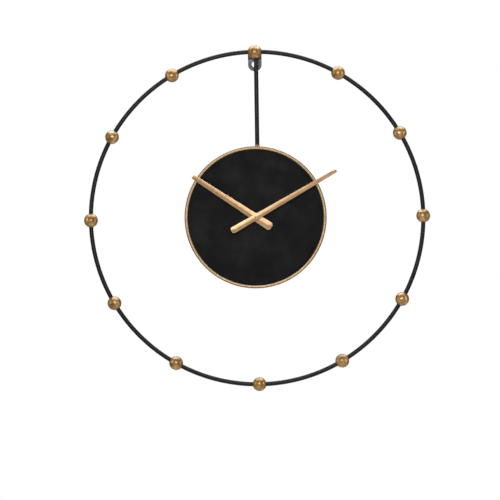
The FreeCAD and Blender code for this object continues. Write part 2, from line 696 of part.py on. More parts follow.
def second_wheel():
    """The wheel that turns once a minute, with its arbor inside the minute tube."""
    wheel = gear(SECOND_WHEEL_TEETH, FIFTH_MODULE, CENTRE_AXIS, 0, SECOND_WHEEL_Y)
    pinion = gear(SECOND_PINION_TEETH, THIRD_MODULE, CENTRE_AXIS, 0, SECOND_PINION_Y)
    span = (MINUTE_BORE_DEPTH_Y + END_PLAY, PLATE_Y[1] - END_PLAY)
    return fuse([disc(SECOND_ARBOR_RADIUS, span, CENTRE_AXIS), wheel, pinion])


def third_wheel():
    """The wheel between the second wheel and the centre wheel."""
    wheel = gear(THIRD_WHEEL_TEETH, THIRD_MODULE, THIRD_AXIS, THIRD_WHEEL_PHASE, THIRD_WHEEL_Y)
    pinion = gear(THIRD_PINION_TEETH, CENTRE_MODULE, THIRD_AXIS, 0, THIRD_PINION_Y)
    return fuse([arbor(THIRD_AXIS), wheel, pinion])


def centre_wheel():
    """The wheel that turns once an hour and drives the minute tube by friction."""
    wheel = gear(CENTRE_WHEEL_TEETH, CENTRE_MODULE, CENTRE_AXIS, CENTRE_WHEEL_PHASE, CENTRE_WHEEL_Y)
    return wheel.cut(disc(MINUTE_TUBE_RADIUS + RUNNING, CENTRE_WHEEL_Y, CENTRE_AXIS))


# Motion work

def minute_tube():
    """The tube that carries the minute hand, with its pinion, and a blind bore at the back."""
    tube = disc(MINUTE_TUBE_RADIUS, (MINUTE_TUBE_FRONT_Y, MINUTE_TUBE_BACK_Y), CENTRE_AXIS)
    pinion = gear(MINUTE_PINION_TEETH, MINUTE_MODULE, CENTRE_AXIS, 0, MINUTE_PINION_Y)
    bore = disc(
        SECOND_ARBOR_RADIUS + RUNNING, (MINUTE_BORE_DEPTH_Y, MINUTE_TUBE_BACK_Y), CENTRE_AXIS)
    return fuse([tube, pinion]).cut(bore)


def motion_wheel():
    """The reduction wheel between the minute tube and the hour wheel, on a short arbor."""
    wheel = gear(
        MOTION_WHEEL_TEETH, MINUTE_MODULE, MOTION_AXIS, MOTION_WHEEL_PHASE, MOTION_WHEEL_Y)
    pinion = gear(MOTION_PINION_TEETH, HOUR_MODULE, MOTION_AXIS, 0, MOTION_PINION_Y)
    stub = disc(ARBOR_RADIUS, (CASE_FRONT_Y + CASE_WALL / 2 + END_PLAY, MOTION_STUB_Y), MOTION_AXIS)
    return fuse([stub, wheel, pinion])


def hour_wheel():
    """The hour hand's wheel and tube, one piece, running on the minute tube."""
    wheel = gear(HOUR_WHEEL_TEETH, HOUR_MODULE, CENTRE_AXIS, HOUR_WHEEL_PHASE, HOUR_WHEEL_Y)
    span = (HOUR_TUBE_FRONT_Y, HOUR_WHEEL_Y[1])
    tube = disc(HOUR_TUBE_RADIUS, span, CENTRE_AXIS)
    return fuse([wheel, tube]).cut(disc(MINUTE_TUBE_RADIUS + HOUR_TUBE_CLEARANCE, span, CENTRE_AXIS))


def set_knob():
    """The knob that sets the hands, with its shaft and its wheel."""
    wheel = gear(SET_WHEEL_TEETH, MINUTE_MODULE, SET_AXIS, SET_WHEEL_PHASE, SET_WHEEL_Y)
    shaft_span = (CASE_FRONT_Y + CASE_WALL / 2 + END_PLAY, KNOB_Y[0])
    knob = disc(KNOB_RADIUS, KNOB_Y, SET_AXIS)
    for notch in range(KNOB_NOTCHES):
        place = polar(SET_AXIS, KNOB_RADIUS, notch * 360 / KNOB_NOTCHES)
        knob = knob.cut(disc(KNOB_NOTCH_RADIUS, KNOB_Y, place))
    return fuse([disc(SET_SHAFT_RADIUS, shaft_span, SET_AXIS), wheel, knob])


# Hands

def blade_section(width, along, back_y):
    """A hand's section: a flat back, two low edges and a ridge along the middle."""
    half = width / 2
    profile = [
        (-half, back_y), (half, back_y), (half, back_y - HAND_EDGE),
        (0, back_y - HAND_RIDGE), (-half, back_y - HAND_EDGE),
    ]
    corners = [Vec(x, y, along) for x, y in profile]
    return Part.makePolygon(corners + corners[:1])


def blade_outline(hand):
    """The hand's shape seen from the front, with the corners of its tail clipped."""
    tail, tail_width = hand["tail"]
    knee, knee_width = hand["knee"]
    tip, tip_width = hand["tip"]
    clip = hand["corner"]
    right = [
        (tail_width / 2 - clip, -tail), (tail_width / 2, clip - tail), (knee_width / 2, knee),
        (tip_width / 2, tip - clip / 2), (tip_width / 2 - clip / 2, tip),
    ]
    left = [(-x, z) for x, z in reversed(right)]
    return right + left


def clock_hand(hand, bore_radius):
    """A ridged blade with a hub, turned to its hour and placed on the hands' axis."""
    back_y = hand["back_y"]
    stations = [(-hand["tail"][0], hand["tail"][1]), hand["knee"], hand["tip"]]
    sections = [blade_section(width, along, back_y) for along, width in stations]
    blade = Part.makeLoft(sections, True, True)
    blade = blade.common(prism(blade_outline(hand), (back_y - HAND_RIDGE, back_y)))
    hub = disc(hand["hub_radius"], hand["hub_y"], (0, 0))
    solid = fuse([blade, hub]).cut(disc(bore_radius, hand["hub_y"], (0, 0)))
    solid.rotate(Vec(0, 0, 0), ALONG_Y, hand["angle_deg"])
    solid.translate(at(DIAL_CENTRE, 0))
    return solid


def hour_hand():
    """The short, broad hand on the hour tube."""
    return clock_hand(HOUR_HAND, HOUR_TUBE_RADIUS)


def minute_hand():
    """The long, narrow hand on the minute tube."""
    return clock_hand(MINUTE_HAND, MINUTE_TUBE_RADIUS)


def hand_nut():
    """The small open nut that holds the minute hand."""
    return collar(HAND_NUT_RADIUS, MINUTE_TUBE_RADIUS, (FRONT_Y, MINUTE_HAND["hub_y"][0]), DIAL_CENTRE)


SUB_PARTS = (
    hanger_rod, hanging_tab, dial_rim, dial_plate, rubber_washer, dial_washer, fixing_nut,
    threaded_bushing, movement_front_case, movement_back_cover, middle_plate, battery,
    negative_contact, positive_contact, coil_bobbin, coil_winding, stator, stator_screws,
    circuit_board, chip_cover, crystal_can, rotor, rotor_magnet, fifth_wheel, second_wheel,
    third_wheel, centre_wheel, minute_tube, motion_wheel, hour_wheel, set_knob, hour_hand,
    minute_hand, hand_nut,
)


def main():
    """Builds every sub-part and writes each to its own file."""
    os.makedirs("parts", exist_ok=True)
    shapes = {"outer_ring": ring_bar(BAR_GAP_DEG)}
    for hour in range(1, BALL_COUNT + 1):
        shapes["hour_ball_%02d" % hour] = hour_ball(hour)
    for make in SUB_PARTS:
        shapes[make.__name__] = make()
    for name, shape in shapes.items():
        shape.exportStep("parts/" + name + ".step")
        print(name, "valid" if shape.isValid() else "INVALID", round(shape.Volume, 1))


main()
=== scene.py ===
import bmesh
import bpy
import math
from mathutils import Matrix, Vector, noise


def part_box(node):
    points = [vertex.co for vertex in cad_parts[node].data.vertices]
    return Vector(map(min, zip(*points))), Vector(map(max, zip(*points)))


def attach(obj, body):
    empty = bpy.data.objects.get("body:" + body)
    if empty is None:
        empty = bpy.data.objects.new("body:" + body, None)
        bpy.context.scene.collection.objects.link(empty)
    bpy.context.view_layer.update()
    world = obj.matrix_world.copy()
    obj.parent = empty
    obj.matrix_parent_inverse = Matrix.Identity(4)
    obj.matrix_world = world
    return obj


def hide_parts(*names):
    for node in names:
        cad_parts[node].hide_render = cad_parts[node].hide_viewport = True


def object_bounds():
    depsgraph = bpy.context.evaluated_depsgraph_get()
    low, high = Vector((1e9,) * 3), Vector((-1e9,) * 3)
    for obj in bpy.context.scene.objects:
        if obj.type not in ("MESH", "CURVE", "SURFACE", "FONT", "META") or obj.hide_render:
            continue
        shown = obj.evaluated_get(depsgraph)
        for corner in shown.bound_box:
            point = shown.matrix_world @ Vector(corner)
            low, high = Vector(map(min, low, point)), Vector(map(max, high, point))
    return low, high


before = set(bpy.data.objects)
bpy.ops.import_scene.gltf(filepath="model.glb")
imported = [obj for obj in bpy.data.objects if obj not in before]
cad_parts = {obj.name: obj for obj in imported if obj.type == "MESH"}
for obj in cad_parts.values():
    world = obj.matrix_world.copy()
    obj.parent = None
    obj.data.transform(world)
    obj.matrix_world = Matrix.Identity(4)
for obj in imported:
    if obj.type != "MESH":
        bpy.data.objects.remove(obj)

# The looks of an open-ring wall clock: its visible pieces, its finishes, a studio and a camera.
# Metres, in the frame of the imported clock. +Y points into the wall, the clock's front faces -Y,
# +Z is up. The clock's lengths are written in millimetres and multiplied by MM. The camera's
# distance, the floor and the lights are in metres.

CAD_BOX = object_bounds()
MM = 0.001
FRAME_BODY = "clock_frame"
ALONG_Y = Vector((0, 1, 0))
CREASE_DEG = 32
ROUNDED_FROM_DEG = 35

# Camera, floor and surrounding light. VIEW_RIGHT and VIEW_UP place the ring off the view's middle.
VIEW_DISTANCE = 8.0
VIEW_LENS = 320.7
SENSOR_WIDTH = 36.0
VIEW_RIGHT = 13.64 * MM
VIEW_UP = 57.2 * MM
VIEW_ROLL_DEG = 0.85
FLOOR_DROP = 1.3
FLOOR_SIZE = 9.0
FLOOR_BACK_Y = 3.0
FLOOR_CELLS = 24
FLOOR_GLOW = 0.62
SURROUNDINGS = 0.17

# The studio's lights: name, place, width, height and watts
SOFTBOXES = (
    ("overhead", (0.0, 0.32, 1.25), 2.6, 1.8, 56),
    ("front", (-0.14, -2.2, 0.12), 1.1, 0.8, 27),
    ("left", (-1.9, -0.6, 0.0), 0.5, 1.6, 7),
    ("right", (1.9, -0.6, -0.2), 0.5, 1.6, 10),
    ("fill", (0.7, -1.7, -1.5), 0.9, 0.9, 3),
)

# Frame pieces
BALL_COUNT = 12
BALL_HOLE_RADIUS = 4.0 * MM
BALL_EVEN_RADIUS = 4.8 * MM
BALL_LUMP = 0.16 * MM
BALL_LUMP_SIZE = 5.0 * MM
BALL_DENT_SIZE = 3.6 * MM
BALL_DENT_SHARE = 0.4
BALL_DENT_REACH = 0.7
WELD_FOOT_RADIUS = 5.4 * MM
WELD_HEIGHT = 2.5 * MM
WELD_STEP = 0.05 * MM
WELD_SUNK = 0.4 * MM
WELD_LUMP = 0.12 * MM
BEAD_RADIUS = 1.1 * MM
BEAD_UNEVENNESS = 0.22
TAB_THICK = 2.0 * MM
TAB_HOLE_RADIUS = 5.5 * MM
TAB_HALF_WIDTH = 12.3 * MM
TAB_BEND_Z = 10.0 * MM
TAB_SLOPE = 0.6667
TAB_BEND_EASE = 1.4 * MM
TAB_BEAD_MIDDLE = 9.2 * MM
TAB_BEAD_HALF = 1.1 * MM
TAB_BEAD_TOP_Z = 4.5 * MM
TAB_BEAD_HEIGHT = 0.5 * MM
RIM_FACE_WIDTH = 5.2 * MM
RIM_CROWN = 2.1 * MM
PLATE_HOLE_RADIUS = 4.15 * MM
PLATE_WAVE = 0.07 * MM
PLATE_WAVE_SIZE = 45 * MM

# Hands: half-widths and lengths from the axis, a clipped corner, and the section's heights
HAND_EDGE = 0.6 * MM
HAND_RIDGE = 1.7 * MM
HAND_END_SLOPE = 5.5 * MM
HAND_HOLLOW = 1.16
HAND_BEVEL = 0.22 * MM
HAND_EASE = 0.2 * MM
HAND_CREASE_DEG = 24
HOUR_HAND = {
    "angle_deg": -56.2, "back": -35.0 * MM, "tail": 33.8 * MM, "tail_half": 7.55 * MM,
    "knee": 40.0 * MM, "knee_half": 5.7 * MM, "tip": 135.2 * MM, "tip_half": 4.25 * MM,
    "clip": 3.4 * MM, "hub": 4.6 * MM, "bore": 2.5 * MM,
}
MINUTE_HAND = {
    "angle_deg": 60.7, "back": -40.4 * MM, "tail": 49.6 * MM, "tail_half": 5.95 * MM,
    "knee": 36.0 * MM, "knee_half": 4.75 * MM, "tip": 167.5 * MM, "tip_half": 3.2 * MM,
    "clip": 2.6 * MM, "hub": 3.6 * MM, "bore": 1.6 * MM,
}

# Small turned parts on the centre line
NECK_HOLE_RADIUS = 4.0 * MM
NECK_BORE_RADIUS = 2.56 * MM
NECK_ENTRY = 0.35 * MM
TUBE_RADIUS = 1.6 * MM
THREAD_PITCH = 0.75 * MM
THREAD_DEPTH = 0.3 * MM
THREAD_TURNS = 4
NUT_BEVEL_SLOPE = 1.9
SLOT_HALF_WIDTH = 0.7 * MM
SLOT_HALF_LENGTH = 1.4 * MM
SLOT_DEPTH = 4.0 * MM

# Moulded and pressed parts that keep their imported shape, with their edges rounded
SOFTENED = (
    ("movement_front_case", "case", "case_plastic", FRAME_BODY, 0.3 * MM),
    ("movement_back_cover", "cover", "case_plastic", FRAME_BODY, 0.3 * MM),
    ("set_knob", "knob", "case_plastic", "set_knob_set", 0.12 * MM),
    ("battery", "cell", "battery_wrap", "battery_cell", 0.3 * MM),
    ("rubber_washer", "rubber_ring", "washer_rubber", FRAME_BODY, 0.2 * MM),
    ("middle_plate", "inner_plate", "frame_plastic", FRAME_BODY, 0.15 * MM),
    ("circuit_board", "board", "board_green", FRAME_BODY, 0.08 * MM),
)


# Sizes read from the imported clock

def middle(node):
    """The centre of a node's box."""
    lo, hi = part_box(node)
    return (lo + hi) / 2


def axis_at(node):
    """The point at depth 0 on the Y axis through a node's middle."""
    point = middle(node)
    return Vector((point.x, 0, point.z))


DIAL_CENTRE = middle("dial_plate")
TOP_BALL = middle("hour_ball_12")
BALL_RADIUS = (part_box("hour_ball_12")[1].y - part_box("hour_ball_12")[0].y) / 2
RIM_RADIUS = DIAL_CENTRE.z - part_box("dial_rim")[0].z


# Finishes

def tone(red, green, blue):
    """A colour given as 8-bit display values, as the linear colour that a shader takes."""
    def linear(value):
        share = value / 255
        return share / 12.92 if share <= 0.04045 else ((share + 0.055) / 1.055) ** 2.4
    return (linear(red), linear(green), linear(blue), 1.0)


class Finish:
    """One material: patterns in object space, sized in metres, that feed a Principled shader."""

    def __init__(self, name, **constants):
        self.material = bpy.data.materials.new(name)
        self.material.use_nodes = True
        self.tree = self.material.node_tree
        self.shader = self.tree.nodes["Principled BSDF"]
        self.place = self.add("TexCoord").outputs["Object"]
        self.normal = None
        for key, value in constants.items():
            self.shader.inputs[key.replace("_", " ")].default_value = value

    def add(self, kind, inputs=(), **settings):
        """A new node with its settings, and its inputs linked or set."""
        node = self.tree.nodes.new("ShaderNode" + kind)
        for key, value in settings.items():
            setattr(node, key, value)
        for key, value in dict(inputs).items():
            self.feed(node.inputs[key], value)
        return node

    def feed(self, socket, value):
        """Links a socket to another one, or gives it a number or colour."""
        if isinstance(value, bpy.types.NodeSocket):
            self.tree.links.new(value, socket)
        else:
            socket.default_value = value

    def noise(self, size, detail=3.0, stretch=(1, 1, 1)):
        """Cloudy noise with lumps about size across, drawn out along the axes with a small stretch."""
        place = self.add("Mapping", {"Vector": self.place, "Scale": stretch}).outputs[0]
        inputs = {"Vector": place, "Scale": 1 / size, "Detail": detail}
        return self.add("TexNoise", inputs).outputs[0]

    def cells(self, size):
        """The distance to the middle of the nearest of many cells about size across."""
        return self.add("TexVoronoi", {"Vector": self.place, "Scale": 1 / size}).outputs[0]

    def along(self, axis):
        """The place along an axis, in metres."""
        return self.add("SeparateXYZ", {"Vector": self.place}).outputs[axis]

    def ramp(self, factor, *stops):
        """A colour ramp through (position, colour) stops."""
        node = self.add("ValToRGB", {"Fac": factor})
        elements = node.color_ramp.elements
        while len(elements) < len(stops):
            elements.new(0.5)
        for element, (position, colour) in zip(elements, stops):
            element.position = position
            element.color = colour
        return node.outputs[0]

    def span(self, factor, low, high, start=0.3, end=0.7):
        """The factor's stretch from start to end, spread between two values."""
        inputs = {"Value": factor, "From Min": start, "From Max": end, "To Min": low, "To Max": high}
        return self.add("MapRange", inputs).outputs[0]

    def blend(self, factor, first, second):
        """One colour laid over another by a factor."""
        node = self.add("MixRGB", {"Fac": factor, "Color1": first, "Color2": second})
        return node.outputs[0]

    def times(self, first, second):
        """The product of two numbers."""
        return self.add("Math", {0: first, 1: second}, operation="MULTIPLY").outputs[0]

    def worn_edges(self, radius, shade=True):
        """1 along the edges and 0 on the flats, and if asked rounds the shading of the edges."""
        rounded = self.add("Bevel", {"Radius": radius}, samples=4).outputs[0]
        flat = self.add("NewGeometry").outputs["Normal"]
        across = self.add("VectorMath", {0: rounded, 1: flat}, operation="DOT_PRODUCT")
        if shade:
            self.normal = rounded
        return self.span(across.outputs["Value"], 1.0, 0.0, 0.8, 0.99)

    def relief(self, height, depth):
        """Adds a bump whose full height is depth metres."""
        inputs = {"Height": height, "Distance": depth, "Strength": 1.0}
        if self.normal:
            inputs["Normal"] = self.normal
        self.normal = self.add("Bump", inputs).outputs[0]

    def done(self, colour, roughness):
        """Connects the colour, the roughness and the relief to the shader."""
        self.feed(self.shader.inputs["Base Color"], colour)
        self.feed(self.shader.inputs["Roughness"], roughness)
        self.feed(self.shader.inputs["Normal"], self.normal)
        return self.material


def black_metal(name):
    """Satin black paint on steel, with a slight orange peel and a few brown rubs."""
    paint = Finish(name, Specular_IOR_Level=0.2)
    colour = paint.ramp(
        paint.noise(14 * MM), (0.3, tone(11, 11, 12)), (0.6, tone(19, 19, 18)),
        (0.74, tone(34, 25, 21)))
    paint.relief(paint.noise(0.9 * MM, 1.0), 0.0006 * MM)
    paint.relief(paint.noise(30 * MM, 1.0), 0.03 * MM)
    return paint.done(colour, paint.span(paint.noise(24 * MM), 0.36, 0.42))


def gold_metal(name):
    """Antique gold leaf: amber, olive and tan patches under a brown glaze."""
    leaf = Finish(name, Metallic=0.5, Coat_Weight=0.6, Coat_Roughness=0.24)
    patches = leaf.ramp(
        leaf.noise(9 * MM, 3.0),
        (0.34, tone(120, 90, 40)), (0.46, tone(148, 108, 46)),
        (0.56, tone(172, 130, 68)), (0.68, tone(194, 162, 116)))
    glaze = leaf.span(leaf.noise(4 * MM, 3.0), 0.3, 0.0, 0.3, 0.55)
    colour = leaf.blend(glaze, patches, tone(110, 76, 36))
    leaf.relief(leaf.noise(1.4 * MM, 3.0), 0.012 * MM)
    leaf.relief(leaf.cells(3.8 * MM), 0.022 * MM)
    return leaf.done(colour, leaf.span(leaf.noise(3.5 * MM, 3.0), 0.3, 0.4))


def rim_gold(name):
    """The same leaf on the rim, with a painted highlight near the lip and painted shade towards the
    outside.
    """
    leaf = Finish(name, Metallic=0.4, Coat_Weight=0.3, Coat_Roughness=0.3)
    from_axis = leaf.add(
        "VectorMath", {0: leaf.place, 1: DIAL_CENTRE}, operation="SUBTRACT").outputs[0]
    spoke = leaf.add("VectorMath", {0: from_axis, 1: (1, 0, 1)}, operation="MULTIPLY").outputs[0]
    reach = leaf.add("VectorMath", {0: spoke}, operation="LENGTH").outputs["Value"]
    across = leaf.span(reach, 0.0, 1.0, RIM_RADIUS - RIM_FACE_WIDTH, RIM_RADIUS)
    # Painted light across the rim's face: a painted highlight near the lip, painted darker towards the
    # outside.
    painted_light_across_rim = leaf.ramp(
        across, (0.0, tone(186, 152, 110)), (0.3, tone(204, 170, 126)), (0.55, tone(156, 126, 86)),
        (0.8, tone(118, 92, 58)), (1.0, tone(126, 102, 68)))
    patches = leaf.span(leaf.noise(14 * MM, 4.0), 0.0, 0.3)
    colour = leaf.blend(patches, painted_light_across_rim, tone(120, 92, 58))
    leaf.relief(leaf.noise(3 * MM, 2.0), 0.012 * MM)
    return leaf.done(colour, leaf.span(leaf.noise(6 * MM, 3.0), 0.3, 0.42))


def hand_gold(name):
    """Light brass, brushed along the hand and lacquered."""
    brass = Finish(name, Metallic=0.72, Coat_Weight=0.1, Coat_Roughness=0.25)
    streaks = brass.noise(0.5 * MM, 2.0, (1, 1, 0.02))
    clouds = brass.noise(12 * MM, 3.0)
    edge = brass.worn_edges(0.25 * MM, shade=False)
    tint = brass.ramp(clouds, (0.35, tone(176, 142, 102)), (0.65, tone(194, 161, 121)))
    colour = brass.blend(brass.span(streaks, 0.0, 0.3), tint, tone(160, 112, 70))
    colour = brass.blend(brass.times(edge, 0.4), colour, tone(236, 204, 172))
    brass.relief(streaks, 0.004 * MM)
    return brass.done(colour, brass.span(streaks, 0.32, 0.4))


def grey_steel(name):
    """Zinc-plated strip, blue-grey and cloudy, with painted light on its pressed bead: a lighter
    painted crest with painted shade on both sides of it.
    """
    zinc = Finish(name, Metallic=0.6)
    clouds = zinc.ramp(
        zinc.noise(3 * MM, 5.0), (0.35, tone(74, 74, 83)), (0.65, tone(96, 95, 105)))
    edge = zinc.worn_edges(0.3 * MM)
    colour = zinc.blend(zinc.times(edge, 0.4), clouds, tone(160, 160, 166))
    # The bead's painted highlight and painted shade show below the hole's centre and fade out upwards.
    bead_shading_fade = zinc.span(zinc.along("Z"), 0.85, 0.0, -4 * MM, 1.5 * MM)
    low = zinc.add("Math", {0: zinc.along("Z"), 1: 0.0}, operation="MINIMUM").outputs[0]
    flat = zinc.add("CombineXYZ", {"X": zinc.along("X"), "Y": 0.0, "Z": low}).outputs[0]
    away = zinc.add("VectorMath", {0: flat}, operation="LENGTH").outputs["Value"]
    across = zinc.span(away, 0.0, 1.0, TAB_HOLE_RADIUS, TAB_HALF_WIDTH)
    # Painted light across the bead: a lighter painted crest between two bands of painted shade, darker
    # out to the tab's edge.
    band = zinc.ramp(
        across, (0.12, tone(84, 83, 92)), (0.34, tone(20, 19, 22)), (0.48, tone(120, 119, 126)),
        (0.64, tone(120, 119, 126)), (0.78, tone(20, 19, 22)), (1.0, tone(36, 35, 42)))
    colour = zinc.blend(bead_shading_fade, colour, band)
    zinc.relief(zinc.noise(0.8 * MM, 3.0), 0.012 * MM)
    return zinc.done(colour, zinc.span(zinc.noise(2 * MM), 0.38, 0.55))


def dial_black(name):
    """Matt black paint on sheet, with faint clouds and a fine grain."""
    paint = Finish(name, Specular_IOR_Level=0.06)
    colour = paint.ramp(
        paint.noise(38 * MM, 5.0), (0.35, tone(20, 20, 21)), (0.5, tone(25, 25, 25)),
        (0.68, tone(32, 32, 32)))
    paint.relief(paint.noise(0.45 * MM, 2.0), 0.02 * MM)
    paint.relief(paint.noise(30 * MM, 2.0), 0.12 * MM)
    return paint.done(colour, paint.span(paint.noise(16 * MM, 4.0), 0.6, 0.75))


def bright_brass(name):
    """Machined brass with turning lines and a little tarnish."""
    brass = Finish(name, Metallic=1.0)
    lines = brass.noise(0.25 * MM, 1.0)
    edge = brass.worn_edges(0.15 * MM)
    tarnish = brass.ramp(
        brass.noise(2.5 * MM, 4.0), (0.35, tone(138, 104, 54)), (0.65, tone(182, 148, 92)))
    colour = brass.blend(brass.times(edge, 0.4), tarnish, tone(244, 222, 166))
    brass.relief(lines, 0.006 * MM)
    return brass.done(colour, brass.span(lines, 0.24, 0.4))


def washer_rubber(name):
    """Dull black rubber with a dusty bloom."""
    rubber = Finish(name, Specular_IOR_Level=0.3)
    bloom = rubber.ramp(
        rubber.noise(3 * MM, 4.0), (0.4, tone(28, 28, 28)), (0.7, tone(52, 51, 49)))
    rubber.relief(rubber.noise(0.4 * MM, 2.0), 0.03 * MM)
    return rubber.done(bloom, rubber.span(rubber.noise(2 * MM), 0.7, 0.88))


def moulded(name, dark, light, low, high):
    """Moulded plastic: a spark-eroded grain, faint flow clouds and polished edges."""
    plastic = Finish(name, Specular_IOR_Level=0.5)
    clouds = plastic.ramp(plastic.noise(11 * MM, 4.0), (0.35, dark), (0.65, light))
    edge = plastic.worn_edges(0.25 * MM)
    shine = [min(1.0, value * 1.9 + 0.012) for value in light[:3]] + [1.0]
    colour = plastic.blend(plastic.times(edge, 0.45), clouds, shine)
    grain = plastic.noise(0.22 * MM, 1.0)
    plastic.relief(grain, 0.012 * MM)
    return plastic.done(colour, plastic.span(grain, low, high))


def case_plastic(name):
    """The movement's black case."""
    return moulded(name, tone(26, 26, 28), tone(36, 36, 38), 0.36, 0.55)


def frame_plastic(name):
    """Natural white acetal of the middle plate and the coil's bobbin."""
    return moulded(name, tone(206, 203, 194), tone(222, 220, 212), 0.34, 0.5)


def wheel_plastic(name):
    """Natural acetal of the gears, a shade warmer than the plate."""
    return moulded(name, tone(214, 206, 186), tone(228, 222, 206), 0.3, 0.46)


def battery_wrap(name):
    """A printed sleeve in two plain colours, with bare steel at both ends."""
    sleeve = Finish(name, Coat_Weight=0.4, Coat_Roughness=0.12)
    lo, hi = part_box("battery")
    along = sleeve.along("X")
    band_x = lo.x + 0.70 * (hi.x - lo.x)
    cap_x = hi.x - 1.7 * MM
    foot_x = lo.x + 0.35 * MM
    scuffs = sleeve.noise(1.6 * MM, 5.0, (0.3, 1, 1))
    body = sleeve.ramp(scuffs, (0.4, tone(34, 36, 40)), (0.8, tone(58, 60, 64)))
    band = sleeve.ramp(scuffs, (0.4, tone(168, 112, 62)), (0.8, tone(196, 142, 92)))
    steel = sleeve.ramp(scuffs, (0.3, tone(170, 170, 172)), (0.7, tone(206, 206, 206)))
    step = 0.05 * MM
    past_band = sleeve.span(along, 0.0, 1.0, band_x, band_x + step)
    past_cap = sleeve.span(along, 0.0, 1.0, cap_x, cap_x + step)
    before_foot = sleeve.span(along, 1.0, 0.0, foot_x, foot_x + step)
    bare = sleeve.add("Math", {0: past_cap, 1: before_foot}, operation="MAXIMUM").outputs[0]
    colour = sleeve.blend(bare, sleeve.blend(past_band, body, band), steel)
    sleeve.feed(sleeve.shader.inputs["Metallic"], sleeve.span(bare, 0.35, 1.0, 0.0, 1.0))
    sleeve.relief(sleeve.noise(0.8 * MM, 2.0), 0.008 * MM)
    return sleeve.done(colour, sleeve.span(scuffs, 0.22, 0.38))


def contact_nickel(name):
    """Nickel-plated spring sheet."""
    nickel = Finish(name, Metallic=1.0)
    edge = nickel.worn_edges(0.12 * MM)
    cloud = nickel.ramp(
        nickel.noise(2 * MM, 4.0), (0.35, tone(168, 166, 160)), (0.65, tone(204, 202, 196)))
    colour = nickel.blend(nickel.times(edge, 0.4), cloud, tone(236, 234, 230))
    nickel.relief(nickel.noise(0.5 * MM, 2.0), 0.006 * MM)
    return nickel.done(colour, nickel.span(nickel.noise(1.5 * MM), 0.2, 0.36))


def copper_wire(name):
    """Enamelled wire wound in close turns."""
    wire = Finish(name, Metallic=0.9, Coat_Weight=0.6, Coat_Roughness=0.12)
    turns = wire.add(
        "TexWave", {"Vector": wire.place, "Scale": 0.314 / (0.25 * MM), "Distortion": 0.4},
        bands_direction="X").outputs["Fac"]
    colour = wire.ramp(turns, (0.1, tone(110, 48, 22)), (0.7, tone(206, 112, 62)))
    wire.relief(turns, 0.09 * MM)
    return wire.done(colour, wire.span(wire.noise(1 * MM), 0.2, 0.32))


def stator_iron(name):
    """Soft iron with a rolled grain and a few brown spots."""
    iron = Finish(name, Metallic=1.0)
    edge = iron.worn_edges(0.15 * MM)
    grain = iron.noise(0.4 * MM, 2.0, (0.05, 1, 1))
    spots = iron.span(iron.noise(1.8 * MM, 5.0), 0.0, 0.6, 0.58, 0.72)
    colour = iron.ramp(grain, (0.35, tone(112, 112, 114)), (0.65, tone(150, 150, 152)))
    colour = iron.blend(spots, colour, tone(104, 82, 62))
    colour = iron.blend(iron.times(edge, 0.4), colour, tone(190, 190, 192))
    iron.relief(grain, 0.01 * MM)
    return iron.done(colour, iron.span(grain, 0.34, 0.5))


def board_green(name):
    """Circuit board: green solder mask over woven glass."""
    board = Finish(name, Coat_Weight=0.5, Coat_Roughness=0.15)
    weave = board.noise(0.7 * MM, 2.0, (1, 1, 0.3))
    colour = board.ramp(weave, (0.35, tone(18, 78, 44)), (0.65, tone(34, 106, 60)))
    board.relief(weave, 0.012 * MM)
    return board.done(colour, board.span(weave, 0.3, 0.44))


def resin_black(name):
    """The glossy drop of black resin, slightly dimpled."""
    resin = Finish(name, Coat_Weight=0.5, Coat_Roughness=0.08)
    colour = resin.ramp(
        resin.noise(1.5 * MM, 3.0), (0.4, tone(20, 20, 21)), (0.7, tone(34, 34, 34)))
    resin.relief(resin.noise(1.1 * MM, 2.0), 0.04 * MM)
    return resin.done(colour, resin.span(resin.noise(0.9 * MM), 0.16, 0.3))


def magnet_dark(name):
    """Sintered magnet, dark and grainy."""
    magnet = Finish(name, Metallic=0.6)
    grain = magnet.noise(0.3 * MM, 3.0)
    edge = magnet.worn_edges(0.12 * MM)
    colour = magnet.ramp(grain, (0.35, tone(52, 50, 50)), (0.65, tone(86, 84, 84)))
    colour = magnet.blend(magnet.times(edge, 0.4), colour, tone(130, 128, 128))
    magnet.relief(grain, 0.015 * MM)
    return magnet.done(colour, magnet.span(grain, 0.42, 0.6))


FINISH_MAKERS = (
    black_metal, gold_metal, hand_gold, grey_steel, dial_black, bright_brass, washer_rubber,
    case_plastic, frame_plastic, wheel_plastic, battery_wrap, contact_nickel, copper_wire,
    stator_iron, board_green, resin_black, magnet_dark,
)
FINISHES = {make.__name__: make(make.__name__ + "_finish") for make in FINISH_MAKERS}
RIM_FINISH = rim_gold("rim_gold_finish")


def finish_cad_nodes():
    """Gives each node of the frame the finish of its own slot."""
    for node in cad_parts.values():
        slot = node.material_slots[0].material.name
        for material_slot in node.material_slots:
            material_slot.material = FINISHES[slot]


# Mesh helpers

def rounded(points, radius, steps=4):
    """A closed outline with its corners rounded, each by no more than its sides allow."""
    outline = []
    for index, point in enumerate(points):
        corner = Vector(point)
        back = Vector(points[index - 1]) - corner
        ahead = Vector(points[(index + 1) % len(points)]) - corner
        opening = back.angle(ahead)
        if opening > math.radians(170):
            outline.append(corner)
            continue
        cut = min(radius / math.tan(opening / 2), 0.45 * back.length, 0.45 * ahead.length)
        start = corner + back.normalized() * cut
        end = corner + ahead.normalized() * cut
        for step in range(steps + 1):
            share = step / steps
            outline.append(start.lerp(corner, share).lerp(corner.lerp(end, share), share))
    return outline


def turned(profile, steps, centre, axis=ALONG_Y):
    """A closed (radius, height) profile turned about an axis through centre."""
    turn = axis.to_track_quat("Z", "Y").to_matrix()
    count = len(profile)
    verts = []
    for step in range(steps):
        angle = 2 * math.pi * step / steps
        for radius, height in profile:
            spoke = Vector((radius * math.cos(angle), radius * math.sin(angle), height))
            verts.append(centre + turn @ spoke)
    return verts, closed_grid(steps, count)


